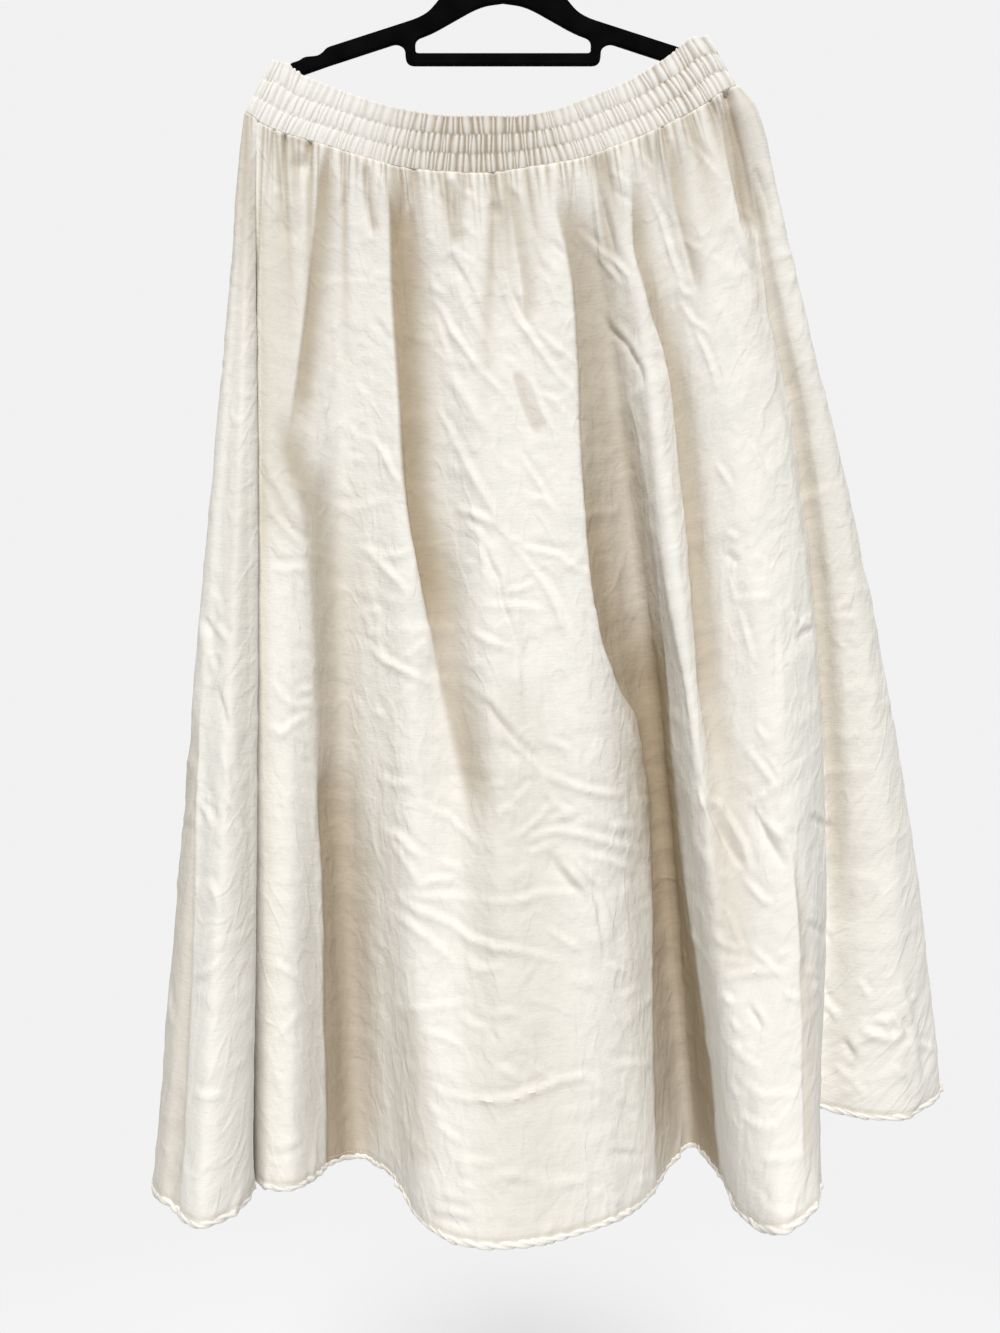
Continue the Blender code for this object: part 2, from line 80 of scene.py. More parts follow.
# The hanger's frame: one flat plastic moulding with shoulders, strap notches and a tie bar, coated
# all over with short black flock. It is drawn as half an outline and its opening, and rounded.
FRAME_THICK = 5.0 * MM
FRAME_EDGE_ROUND = 1.6 * MM
COLLAR_RADIUS = 5.2 * MM
COLLAR_TOP = -112.0 * MM
COLLAR_FOOT = -131.0 * MM
FLOCK_DARK = (0.0018, 0.0018, 0.002, 1.0)
FLOCK_BRUSHED = (0.0042, 0.0042, 0.0046, 1.0)
CORNER_STEPS = 5
OutlinePoint = namedtuple("OutlinePoint", "x z corner")
FRAME_OUTLINE = [
    OutlinePoint(6.5, -113, 0),
    OutlinePoint(7, -126, 1),
    OutlinePoint(10, -136, 4),
    OutlinePoint(19, -145, 6),
    OutlinePoint(34, -155, 6),
    OutlinePoint(45, -165, 6),
    OutlinePoint(52, -175, 6),
    OutlinePoint(59, -183, 5),
    OutlinePoint(68, -188, 6),
    OutlinePoint(139, -211, 3),
    OutlinePoint(142, -214.5, 2),
    OutlinePoint(146, -217.5, 3),
    OutlinePoint(157, -218.5, 3),
    OutlinePoint(161, -221.5, 3),
    OutlinePoint(168, -223.5, 4),
    OutlinePoint(173, -230, 5),
    OutlinePoint(167, -235.5, 5),
    OutlinePoint(139, -225.5, 4),
    OutlinePoint(84, -207.5, 4),
    OutlinePoint(77.5, -211, 4),
    OutlinePoint(76.5, -225, 7),
]
FRAME_OPENING = [
    OutlinePoint(0, -175.5, 0),
    OutlinePoint(18, -178, 12),
    OutlinePoint(56, -199.5, 10),
    OutlinePoint(69.5, -204.5, 5),
    OutlinePoint(69, -215.5, 2.5),
]


def rounded_half(points):
    """Half an outline with each corner rounded over the length in its row, then its mirror image."""
    places = [np.array([point.x, point.z]) * MM for point in points]
    right = []
    for index, (place, point) in enumerate(zip(places, points)):
        if point.corner == 0 or index == 0:
            right.append(tuple(place))
            continue
        after = places[index + 1] if index + 1 < len(places) else place * (-1, 1)
        before = places[index - 1]
        ends = []
        for other in (before, after):
            reach = min(point.corner * MM, 0.45 * np.linalg.norm(other - place))
            ends.append(place + (other - place) / np.linalg.norm(other - place) * reach)
        for step in range(CORNER_STEPS + 1):
            share = step / CORNER_STEPS
            one = ends[0] + (place - ends[0]) * share
            two = place + (ends[1] - place) * share
            right.append(tuple(one + (two - one) * share))
    left = [(-x, z) for x, z in reversed(right) if abs(x) > 1e-6]
    return right + left


def in_scene(made):
    """The same object, linked to the scene."""
    bpy.context.scene.collection.objects.link(made)
    return made


def plain_mesh(source, name):
    """The evaluated shape of an object as a plain mesh with its place applied, and the source gone."""
    bpy.context.view_layer.update()
    graph = bpy.context.evaluated_depsgraph_get()
    mesh = bpy.data.meshes.new_from_object(source.evaluated_get(graph))
    mesh.transform(source.matrix_world)
    mesh.name = name
    bpy.data.objects.remove(source, do_unlink=True)
    return in_scene(bpy.data.objects.new(name, mesh))


def add_node(tree, kind, inputs=None, **settings):
    """A shader or geometry node with its settings, and its inputs linked or set."""
    made = tree.nodes.new(kind)
    for name, value in settings.items():
        setattr(made, name, value)
    for key, value in (inputs or {}).items():
        if isinstance(value, bpy.types.NodeSocket):
            tree.links.new(value, made.inputs[key])
        else:
            made.inputs[key].default_value = value
    return made


def new_material(name, **values):
    """A material and its shader, with the values that are the same all over set on the shader."""
    made = bpy.data.materials.new(name)
    made.use_nodes = True
    shader = made.node_tree.nodes["Principled BSDF"]
    for key, value in values.items():
        shader.inputs[key.replace("_", " ")].default_value = value
    return made, made.node_tree, shader


def noise_on_piece(tree, scale, detail):
    """Fine noise that stays put on the piece."""
    place = add_node(tree, "ShaderNodeTexCoord").outputs["Object"]
    settings = {"Vector": place, "Scale": scale, "Detail": detail}
    return add_node(tree, "ShaderNodeTexNoise", settings).outputs["Fac"]


def two_tones(tree, shader, share, dark, light, dark_to=0.0, light_from=1.0):
    """Colour the shader from dark to light as the share rises."""
    ramp = add_node(tree, "ShaderNodeValToRGB", {"Fac": share})
    for stop, position, colour in zip(ramp.color_ramp.elements, (dark_to, light_from), (dark, light)):
        stop.position = position
        stop.color = colour
    tree.links.new(ramp.outputs["Color"], shader.inputs["Base Color"])


def bumped(tree, height, strength, distance, below=None):
    """The normal of a surface with small bumps, on top of the bumps below where there are some."""
    inputs = {"Height": height, "Strength": strength, "Distance": distance}
    if below is not None:
        inputs["Normal"] = below
    return add_node(tree, "ShaderNodeBump", inputs).outputs["Normal"]


flock, tree, shader = new_material(
    "black_flock", Roughness=1.0, Sheen_Weight=0.04, Sheen_Roughness=0.4, Specular_IOR_Level=0.04
)
two_tones(tree, shader, noise_on_piece(tree, 60.0, 4.0), FLOCK_DARK, FLOCK_BRUSHED, 0.35, 0.75)
nap = bumped(tree, noise_on_piece(tree, 1400.0, 3.0), 0.6, 0.0004)
tree.links.new(nap, shader.inputs["Normal"])

frame_curve = bpy.data.curves.new("frame_plate", "CURVE")
frame_curve.dimensions = "2D"
frame_curve.fill_mode = "BOTH"
frame_curve.extrude = 0.5 * FRAME_THICK - FRAME_EDGE_ROUND
frame_curve.bevel_depth = FRAME_EDGE_ROUND
frame_curve.bevel_resolution = 3
frame_curve.offset = -FRAME_EDGE_ROUND
for outline in (rounded_half(FRAME_OUTLINE), rounded_half(FRAME_OPENING)):
    spline = frame_curve.splines.new("POLY")
    spline.points.add(len(outline) - 1)
    for point, (x, z) in zip(spline.points, outline):
        point.co = (x, z, 0.0, 1.0)
    spline.use_cyclic_u = True
plate = in_scene(bpy.data.objects.new("frame_plate", frame_curve))
plate.rotation_euler = (math.pi / 2, 0.0, 0.0)
hanger = plain_mesh(plate, "flocked_frame")
weld = hanger.modifiers.new("weld", "WELD")
weld.merge_threshold = 0.00001
hanger = plain_mesh(hanger, "flocked_frame")
hanger.data.shade_smooth()
hanger.data.set_sharp_from_angle(angle=math.radians(50))
hanger.data.materials.append(flock)


def turned(name, profile, sides, material):
    """A closed round piece on the upright axis, from radius and height pairs that start and end on it."""
    points = [(0.0, 0.0, profile[0][1]), (0.0, 0.0, profile[-1][1])]
    rings = profile[1:-1]
    for radius, height in rings:
        for side in range(sides):
            angle = 2 * math.pi * side / sides
            points.append((radius * math.cos(angle), radius * math.sin(angle), height))
    last = 2 + (len(rings) - 1) * sides
    faces = []
    for side in range(sides):
        following = (side + 1) % sides
        faces.append((0, 2 + side, 2 + following))
        faces.append((1, last + following, last + side))
        for ring in range(len(rings) - 1):
            a, b = 2 + ring * sides + side, 2 + ring * sides + following
            faces.append((a, a + sides, b + sides, b))
    mesh = bpy.data.meshes.new(name)
    mesh.from_pydata(points, [], faces)
    mesh.shade_smooth()
    mesh.set_sharp_from_angle(angle=math.radians(45))
    mesh.materials.append(material)
    return in_scene(bpy.data.objects.new(name, mesh))


collar = turned(
    "flocked_collar",
    [
        (0.0, COLLAR_TOP),
        (COLLAR_RADIUS - 1.2 * MM, COLLAR_TOP),
        (COLLAR_RADIUS - 0.3 * MM, COLLAR_TOP - 0.4 * MM),
        (COLLAR_RADIUS, COLLAR_TOP - 1.4 * MM),
        (COLLAR_RADIUS, COLLAR_FOOT + 2.0 * MM),
        (COLLAR_RADIUS - 1.0 * MM, COLLAR_FOOT + 0.4 * MM),
        (0.0, COLLAR_FOOT),
    ],
    36,
    flock,
)
for piece in (hanger, collar):
    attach(piece, "root")
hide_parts("hanger_frame")

# The hook: one length of round plated steel wire, bent to a half circle over the rail and back
# to the upright shank that turns in the collar; its tip is rounded off.
WIRE_RADIUS = 1.9 * MM
HOOK_INNER_RADIUS = 20.0 * MM
HOOK_ARC_FROM = -38
HOOK_ARC_TO = 205
HOOK_ARC_STEPS = 18
WIRE_SIDES = 20
POINTS_PER_BEND = 4
TIP_STEPS = 5
HOOK_SHANK = [(0, -125), (0, -104), (0, -84), (0.8, -72), (4.5, -60), (11, -48)]


def smooth_rows(table, place):
    """Rows of the smooth curve through a table's rows, at many places counted in rows."""
    first = np.clip(np.floor(place).astype(int), 0, len(table) - 2)
    share = (place - first)[..., None]
    before = table[np.maximum(first - 1, 0)]
    start, end = table[first], table[first + 1]
    after = table[np.minimum(first + 2, len(table) - 1)]
    return 0.5 * (
        2 * start
        + (end - before) * share
        + (2 * before - 5 * start + 4 * end - after) * share**2
        + (3 * start - before - 3 * end + after) * share**3
    )


def tube_mesh(name, rings):
    """A closed tube through rings of points, with flat ends."""
    at = np.arange(rings.shape[0] * rings.shape[1]).reshape(rings.shape[:2])
    beside = np.roll(at, -1, axis=1)
    quads = np.stack([at[:-1], beside[:-1], beside[1:], at[1:]], -1).reshape(-1, 4)
    mesh = bpy.data.meshes.new(name)
    faces = quads.tolist() + [at[0][::-1].tolist(), at[-1].tolist()]
    mesh.from_pydata(rings.reshape(-1, 3).tolist(), [], faces)
    mesh.shade_smooth()
    return mesh


wire_centre = HOOK_INNER_RADIUS + WIRE_RADIUS
arc = np.radians(np.linspace(HOOK_ARC_FROM, HOOK_ARC_TO, HOOK_ARC_STEPS + 1))
arc_points = np.stack([wire_centre * np.cos(arc), wire_centre * np.sin(arc) - HOOK_INNER_RADIUS], -1)
bends = np.concatenate([np.array(HOOK_SHANK) * MM, arc_points])
route = smooth_rows(bends, np.arange(POINTS_PER_BEND * (len(bends) - 1) + 1) / POINTS_PER_BEND)
heading = (route[-1] - route[-2]) / np.linalg.norm(route[-1] - route[-2])
rounding = 0.5 * math.pi * np.arange(1, TIP_STEPS) / TIP_STEPS
radii = np.concatenate([np.full(len(route), WIRE_RADIUS), WIRE_RADIUS * np.cos(rounding)])
route = np.concatenate([route, route[-1] + WIRE_RADIUS * np.sin(rounding)[:, None] * heading])
angles = np.linspace(0.0, 2 * math.pi, WIRE_SIDES, endpoint=False)
wire_rings = []
for index, (place, radius) in enumerate(zip(route, radii)):
    ahead = route[min(index + 1, len(route) - 1)] - route[max(index - 1, 0)]
    ahead = ahead / np.linalg.norm(ahead)
    out = radius * np.cos(angles)
    ring = [place[0] + out * ahead[1], radius * np.sin(angles), place[1] - out * ahead[0]]
    wire_rings.append(np.stack(ring, -1))
hook = in_scene(bpy.data.objects.new("wire_hook", tube_mesh("wire_hook", np.array(wire_rings))))
steel, tree, shader = new_material("plated_steel", Metallic=1.0, Base_Color=(0.66, 0.66, 0.67, 1.0))
drawn = noise_on_piece(tree, 220.0, 4.0)
rough = add_node(tree, "ShaderNodeMapRange", {"Value": drawn, "To Min": 0.16, "To Max": 0.34})
tree.links.new(rough.outputs["Result"], shader.inputs["Roughness"])
tree.links.new(bumped(tree, drawn, 0.12, 0.0002), shader.inputs["Normal"])
hook.data.materials.append(steel)
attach(hook, "root")
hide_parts("hanger_hook")

# The waistband: the skirt's own cloth doubled over three flat elastics and sewn through below each
# one, so that it gathers into narrow ridges. Front and back halves meet at the side seams.
BAND_WALL = 2.2 * MM
BAND_INNER_AT_ENDS = 2.8 * MM
BAND_INNER_AT_MIDDLE = 8.0 * MM
BAND_END_ROUNDING = 0.018
BAND_SEAM_GAP = 0.3 * MM
BAND_LENGTH = 0.395
BAND_CLOTH_HEIGHT = 0.045
GATHERED_TO = 1.6
BAND_COLUMNS = 800
BAND_ROWS = 42
INNER_FACE_STEP = 2
CHANNELS = 3
CHANNEL_SWELL = 0.8 * MM
STITCHED_ROWS = (14, 28, 41)
RIDGE_HEIGHT = 1.5 * MM
RIDGE_WIDTHS = (5.2 * MM, 3.7 * MM, 3.5 * MM)
RIDGE_WIDTH_SPREAD = (0.4, 1.75)
RIDGE_LEAN = 0.45
RUFFLE_HEIGHT = 1.1 * MM
RUFFLE_SHARE = 1.0 / 12
CALM_AT_SIDES = 2.5 * MM
# Painted shade on the band, standing in for the light falling unevenly on it: a little all over, and more
# towards its middle and right end.
SHADE_ALL_OVER = 0.08
SHADE_AT_MIDDLE = 0.88
SHADE_AT_RIGHT = 0.68
BandSection = namedtuple("BandSection", "top_x top_z foot_x foot_z")
BAND = [
    BandSection(-184, -224, -203, -263),
    BandSection(-171, -225, -190, -273),
    BandSection(-155, -236, -175, -280),
    BandSection(-126, -248, -142, -290),
    BandSection(-98, -258, -111, -300),
    BandSection(-70, -265, -79, -309),
    BandSection(-42, -269, -44, -313),
    BandSection(-13, -269, -13, -314),
    BandSection(14, -269, 17, -310),
    BandSection(43, -263, 57, -303),
    BandSection(71, -252, 88, -292),
    BandSection(100, -239, 121, -278),
    BandSection(127, -222, 152, -262),
    BandSection(148, -206, 173, -248),
    BandSection(163, -205, 185, -243),
]
band_table = np.array(BAND, dtype=float) * MM
foot_steps = np.linalg.norm(np.diff(band_table[:, 2:], axis=0), axis=1)
band_shares = np.concatenate([[0.0], np.cumsum(foot_steps)]) / foot_steps.sum()


def band_points(along, down, side, depth_from_face=0.0):
    """Points on the band's outer face: along 0..1 from its left end, down 0..1 to its foot.

    side is -1 for the front half and +1 for the back half.
    """
    along, down = np.broadcast_arrays(np.asarray(along, float), np.asarray(down, float))
    row = smooth_rows(band_table, np.interp(along, band_shares, np.arange(len(BAND))))
    x = row[..., 0] + (row[..., 2] - row[..., 0]) * down
    z = row[..., 1] + (row[..., 3] - row[..., 1]) * down
    inner = BAND_INNER_AT_ENDS + (BAND_INNER_AT_MIDDLE - BAND_INNER_AT_ENDS) * np.sin(math.pi * along) ** 2
    from_end = np.minimum(np.minimum(along, 1.0 - along) / BAND_END_ROUNDING, 1.0)
    rounding = np.sqrt(np.maximum(0.0, 1.0 - (1.0 - from_end) ** 2))
    inset = depth_from_face * (1.0 - rounding) * np.where(along < 0.5, 1.0, -1.0)
    y = side * (inner + BAND_WALL - depth_from_face) * rounding
    return np.stack([x + inset, y, z], axis=-1)


def unit(vectors):
    """The same directions, each of length 1."""
    return vectors / np.maximum(np.linalg.norm(vectors, axis=-1, keepdims=True), 1e-12)


def set_map(mesh, name, values):
    """Values at the mesh's points: pairs become a UV map, single numbers an attribute."""
    if values.shape[-1] == 1:
        mesh.attributes.new(name, "FLOAT", "POINT").data.foreach_set("value", values.ravel())
        return
    corners = np.empty(len(mesh.loops), int)
    mesh.loops.foreach_get("vertex_index", corners)
    mesh.uv_layers.new(name=name).data.foreach_set("uv", values[corners].ravel())


def wall_mesh(name, outer, inner, coarse, maps):
    """A closed wall: a fine outer face, a coarser inner one on every few of its points, and sewn edges.

    outer and inner are grids of points; maps holds named grids of numbers for the outer face.
    """
    rows, columns = outer.shape[:2]
    kept_rows = np.arange(0, rows, coarse)
    kept_columns = np.arange(0, columns, coarse)
    inside = inner[np.ix_(kept_rows, kept_columns)]
    first = rows * columns
    points = np.concatenate([outer.reshape(-1, 3), inside.reshape(-1, 3)])
    at = np.arange(rows * columns).reshape(rows, columns)
    within = first + np.arange(inside.shape[0] * inside.shape[1]).reshape(inside.shape[:2])
    outer_quads = np.stack([at[:-1, :-1], at[1:, :-1], at[1:, 1:], at[:-1, 1:]], -1)
    inner_quads = np.stack([within[:-1, :-1], within[:-1, 1:], within[1:, 1:], within[1:, :-1]], -1)
    faces = outer_quads.reshape(-1, 4).tolist() + inner_quads.reshape(-1, 4).tolist()
    edges = (
        (at[0], within[0], False),
        (at[-1], within[-1], True),
        (at[:, 0], within[:, 0], True),
        (at[:, -1], within[:, -1], False),
    )
    for outside_edge, inside_edge, turned_round in edges:
        for step in range(len(inside_edge) - 1):
            strip = outside_edge[step * coarse : (step + 1) * coarse + 1].tolist()
            face = strip + [int(inside_edge[step + 1]), int(inside_edge[step])]
            faces.append(face[::-1] if turned_round else face)
    mesh = bpy.data.meshes.new(name)
    mesh.from_pydata(points.tolist(), [], faces)
    mesh.shade_smooth()
    for map_name, grid in maps.items():
        both_faces = [grid, grid[np.ix_(kept_rows, kept_columns)]]
        set_map(mesh, map_name, np.concatenate([part.reshape(-1, grid.shape[-1]) for part in both_faces]))
    return in_scene(bpy.data.objects.new(name, mesh))


def cloth_material(name, lit, painted_shade_tone, thread_strength, crumple_strength):
    """Washed ivory cloth: plain weave with slubs, faint clouds of tone, and warm shade painted into its
    colour in the hollows.
    """
    made, tree, shader = new_material(name, Sheen_Weight=0.06, Sheen_Roughness=0.5, Specular_IOR_Level=0.1)
    cloth = add_node(tree, "ShaderNodeUVMap", uv_map="cloth").outputs["UV"]

    def cloth_noise(across, down, detail, turn=0.0, **settings):
        """Noise with so many cells for each metre across and down the cloth."""
        spread = {"Vector": cloth, "Scale": (across, down, 1.0), "Rotation": (0.0, 0.0, turn)}
        stretched = add_node(tree, "ShaderNodeMapping", spread).outputs["Vector"]
        inputs = {"Vector": stretched, "Scale": 1.0, "Detail": detail, **settings}
        return add_node(tree, "ShaderNodeTexNoise", inputs).outputs["Fac"]

    def mixed(one, two, share, data_type="FLOAT"):
        """One value or colour mixed with another by a share."""
        first, second, result = (2, 3, 0) if data_type == "FLOAT" else (6, 7, 2)
        inputs = {"Factor": share, first: one, second: two}
        return add_node(tree, "ShaderNodeMix", inputs, data_type=data_type).outputs[result]

    def ranged(value, start, end, low, high, **settings):
        """The value between start and end, spread from low to high."""
        inputs = {"Value": value, "From Min": start, "From Max": end, "To Min": low, "To Max": high}
        return add_node(tree, "ShaderNodeMapRange", inputs, **settings).outputs["Result"]

    weft = cloth_noise(90.0, 1100.0, 3.0, Roughness=0.62)
    warp = cloth_noise(1100.0, 70.0, 3.0, Roughness=0.62)
    slubs = cloth_noise(24.0, 420.0, 2.0, Roughness=0.62)
    streaks = cloth_noise(260.0, 9.0, 3.0, Roughness=0.62)
    clouds = cloth_noise(14.0, 9.0, 4.0, Roughness=0.62)
    crumple = cloth_noise(95.0, 80.0, 5.0, Roughness=0.62)
    veins = cloth_noise(44.0, 26.0, 1.5, turn=-0.75, Distortion=0.35)
    from_middle = add_node(tree, "ShaderNodeMath", {0: veins, 1: 0.5}, operation="SUBTRACT").outputs[0]
    folded = add_node(tree, "ShaderNodeMath", {0: from_middle}, operation="ABSOLUTE").outputs[0]
    creased = ranged(folded, 0.0, 0.1, 1.0, 0.0, interpolation_type="SMOOTHERSTEP")
    weave = mixed(mixed(weft, warp, 0.45), slubs, 0.3)
    tone = mixed(mixed(clouds, streaks, 0.4), weave, 0.35)
    darker = tuple(0.9 * value for value in lit[:3]) + (1.0,)
    body = mixed(darker, lit, ranged(tone, 0.3, 0.7, 0.0, 1.0), "RGBA")
    # The attribute holds the share of shade painted into the colour: it mixes the cloth towards the warm
    # shade tone.
    hollow = add_node(tree, "ShaderNodeAttribute", attribute_name="hollow").outputs["Fac"]
    tree.links.new(mixed(body, painted_shade_tone, hollow, "RGBA"), shader.inputs["Base Color"])
    tree.links.new(ranged(weave, 0.0, 1.0, 0.72, 0.95), shader.inputs["Roughness"])
    sharp = bumped(tree, creased, crumple_strength, 0.0005)
    coarse = bumped(tree, crumple, crumple_strength, 0.0017, sharp)
    tree.links.new(bumped(tree, weave, thread_strength, 0.0007, coarse), shader.inputs["Normal"])
    return made


# BAND_SHADE is the colour of the shade painted on the band.
BAND_LIT = (0.95, 0.93, 0.89, 1.0)
BAND_SHADE = (0.43, 0.355, 0.27, 1.0)
band_cloth = cloth_material("shirred_cloth", BAND_LIT, BAND_SHADE, 0.5, 0.2)


def band_half(name, side, seed):
    """Half the band: swollen channels, ridges that lean and shift from channel to channel, open inside, with
    shade painted between the ridges, at the seams and along the band.
    """
    generator = np.random.default_rng(seed)
    alongs = np.linspace(0.0, 1.0, BAND_COLUMNS + 1)
    downs = np.linspace(0.0, 1.0, BAND_ROWS + 1)
    base = band_points(alongs[None, :], downs[:, None], side)
    normal = unit(np.cross(np.gradient(base, axis=0), np.gradient(base, axis=1)) * -side)
    relief, painted_band_shade, ruffle = (np.zeros(base.shape[:2]) for _ in range(3))
    painted_shade_middle = np.exp(-(((alongs - 0.48) / 0.2) ** 2))
    painted_shade_right = np.exp(-(((alongs - 0.9) / 0.12) ** 2))
    depth_of_shade = SHADE_ALL_OVER + SHADE_AT_MIDDLE * painted_shade_middle + SHADE_AT_RIGHT * painted_shade_right
    for channel in range(CHANNELS):
        width = RIDGE_WIDTHS[channel]
        edges = np.cumsum(generator.uniform(*RIDGE_WIDTH_SPREAD, 260) * width) - width
        edges = edges[edges < BAND_LENGTH + width]
        lean = generator.uniform(-RIDGE_LEAN, RIDGE_LEAN, len(edges)) * width
        peak = generator.uniform(0.2, 0.8, len(edges) + 1)
        heights = generator.uniform(0.3, 1.3, len(edges) + 1)
        for row, down in enumerate(downs):
            inside = down * CHANNELS - channel
            if not -1e-9 <= inside <= 1.0 + 1e-9:
                continue
            places = np.sort(edges + lean * (inside - 0.5))
            phase = np.interp(alongs * BAND_LENGTH, places, np.arange(len(places)))
            which = np.clip(np.floor(phase).astype(int), 0, len(heights) - 1)
            part = phase - np.floor(phase)
            top = peak[which]
            eased = np.where(part < top, 0.5 * part / top, 0.5 + 0.5 * (part - top) / (1.0 - top))
            round_top = np.sin(math.pi * np.clip(eased, 0.0, 1.0)) ** 1.5
            swell = max(math.sin(math.pi * min(max(inside, 0.0), 1.0)), 0.0) ** 0.55
            if channel == 0:
                swell = max(swell, 0.8 if inside < 0.5 else 0.0)
            height = heights[which] * (0.5 + 0.5 * swell)
            relief[row] = CHANNEL_SWELL * swell + RIDGE_HEIGHT * height * (round_top - 0.35)
            # Painted shade in the pinches between the ridges and along the seam rows, plus a wash towards the
            # middle.
            between = (1.0 - round_top) ** 1.3 * (0.45 + 0.5 * heights[which])
            at_seam = (1.0 - swell) * (0.12 + 0.6 * (1.0 - round_top))
            painted_band_shade[row] = depth_of_shade * (between + at_seam) + 0.26 * painted_shade_middle
            if down < RUFFLE_SHARE:
                fade = 1.0 - down / RUFFLE_SHARE
                ruffle[row] = (round_top - 0.5) * RUFFLE_HEIGHT * fade * heights[which]
    from_end = np.minimum(alongs, 1.0 - alongs) * BAND_LENGTH
    settle = np.clip(from_end / CALM_AT_SIDES, 0.0, 1.0)
    outer = base + normal * (relief * settle)[..., None]
    outer[..., 2] += ruffle * settle
    flat = unit(normal * np.array([1.0, 1.0, 0.0]))
    inner = band_points(alongs[None, :], downs[:, None], side) - flat * BAND_WALL
    seams = [outer[row].copy() for row in STITCHED_ROWS]
    length_across = np.broadcast_to(alongs * BAND_LENGTH * GATHERED_TO, base.shape[:2])
    length_down = np.broadcast_to(downs[:, None] * BAND_CLOTH_HEIGHT, base.shape[:2])
    cloth = np.stack([length_across + (0.0 if side < 0 else 1.3), length_down], -1)
    for end in (0, -1):
        outer[:, end] += np.array([0.0, side, 0.0]) * 0.5 * BAND_SEAM_GAP
    maps = {"cloth": cloth, "hollow": np.clip(painted_band_shade, 0.0, 1.0)[..., None]}
    if side > 0:
        outer, inner = outer[:, ::-1], inner[:, ::-1]
        maps = {key: grid[:, ::-1] for key, grid in maps.items()}
    made = wall_mesh(name, outer, inner, INNER_FACE_STEP, maps)
    made.data.materials.append(band_cloth)
    return made, seams


THREAD_WIDTH = 0.5 * MM
CHANNEL_STITCH_STEP = 2.3 * MM
STITCH_SHARE = 0.82


def stitch_row_tree():
    """Stitches along lines: each line is stepped off and a short rounded length of thread laid on it."""
    tree = bpy.data.node_groups.new("stitch_row", "GeometryNodeTree")
    tree.interface.new_socket("Line", in_out="INPUT", socket_type="NodeSocketGeometry")
    for name, value in (("Step", 2.3 * MM), ("Stitch length", 1.9 * MM), ("Thread width", THREAD_WIDTH)):
        tree.interface.new_socket(name, in_out="INPUT", socket_type="NodeSocketFloat").default_value = value
    tree.interface.new_socket("Seed", in_out="INPUT", socket_type="NodeSocketInt")
    tree.interface.new_socket("Thread", in_out="INPUT", socket_type="NodeSocketMaterial")
    tree.interface.new_socket("Stitches", in_out="OUTPUT", socket_type="NodeSocketGeometry")
    given = add_node(tree, "NodeGroupInput").outputs

    def step(kind, output, inputs=None, **settings):
        """The named output of a new node."""
        return add_node(tree, kind, inputs, **settings).outputs[output]

    line = step("GeometryNodeMeshToCurve", "Curve", {"Mesh": given["Line"]})
    stepped = {"Curve": line, "Length": given["Step"]}
    places = step("GeometryNodeResampleCurve", "Curve", stepped, mode="LENGTH")
    thread = step("GeometryNodeMeshUVSphere", "Mesh", {"Segments": 6, "Rings": 4, "Radius": 0.5})
    lengthwise = {"Geometry": thread, "Rotation": (0.0, 0.5 * math.pi, 0.0)}
    lying = step("GeometryNodeTransform", "Geometry", lengthwise)
    uneven = step("FunctionNodeRandomValue", 1, {2: 0.8, 3: 1.15, "Seed": given["Seed"]}, data_type="FLOAT")
    length = step("ShaderNodeMath", 0, {0: given["Stitch length"], 1: uneven}, operation="MULTIPLY")
    width = given["Thread width"]
    size = step("ShaderNodeCombineXYZ", "Vector", {"X": length, "Y": width, "Z": width})
    tangent = step("GeometryNodeInputTangent", "Tangent")
    turn = step("FunctionNodeAlignRotationToVector", "Rotation", {"Vector": tangent}, axis="X")
    laid = {"Points": places, "Instance": lying, "Rotation": turn, "Scale": size}
    stitches = step("GeometryNodeInstanceOnPoints", "Instances", laid)
    solid = step("GeometryNodeRealizeInstances", "Geometry", {"Geometry": stitches})
    smooth = step("GeometryNodeSetShadeSmooth", "Geometry", {"Geometry": solid})
    sewn = step("GeometryNodeSetMaterial", "Geometry", {"Geometry": smooth, "Material": given["Thread"]})
    add_node(tree, "NodeGroupOutput", {"Stitches": sewn})
    return tree


sewing_thread, tree, shader = new_material("ivory_thread", Roughness=0.8, Specular_IOR_Level=0.2)
twist = noise_on_piece(tree, 1800.0, 2.0)
two_tones(tree, shader, twist, (0.62, 0.56, 0.47, 1.0), (0.9, 0.87, 0.8, 1.0))
tree.links.new(bumped(tree, twist, 0.5, 0.0003), shader.inputs["Normal"])
stitch_rows = stitch_row_tree()


def stitched(sewn_lines, name, step, seed):
    """Rows of stitches along lines of points, as one plain mesh."""
    points, pairs = [], []
    for line in sewn_lines:
        pairs += [(place, place + 1) for place in range(len(points), len(points) + len(line) - 1)]
        points += line.tolist()
    mesh = bpy.data.meshes.new(name)
    mesh.from_pydata(points, pairs, [])
    rows = in_scene(bpy.data.objects.new(name, mesh))
    sewing = rows.modifiers.new("stitches", "NODES")
    sewing.node_group = stitch_rows
    values = {"Step": step, "Stitch length": STITCH_SHARE * step, "Thread width": THREAD_WIDTH}
    values.update({"Seed": seed, "Thread": sewing_thread})
    for socket in stitch_rows.interface.items_tree:
        if socket.name in values:
            sewing[socket.identifier] = values[socket.name]
    return plain_mesh(rows, name)


for name, side, seed, node in (
    ("shirred_band_front", -1, 11, "waistband_front"),
    ("shirred_band_back", 1, 23, "waistband_back"),
):
    band_piece, seam_lines = band_half(name, side, seed)
    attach(band_piece, "root")
    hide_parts(node)
    stitches_name = name.replace("shirred_band", "channel_stitches")
    seam_stitches = stitched(seam_lines, stitches_name, CHANNEL_STITCH_STEP, seed)
    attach(seam_stitches, "root")

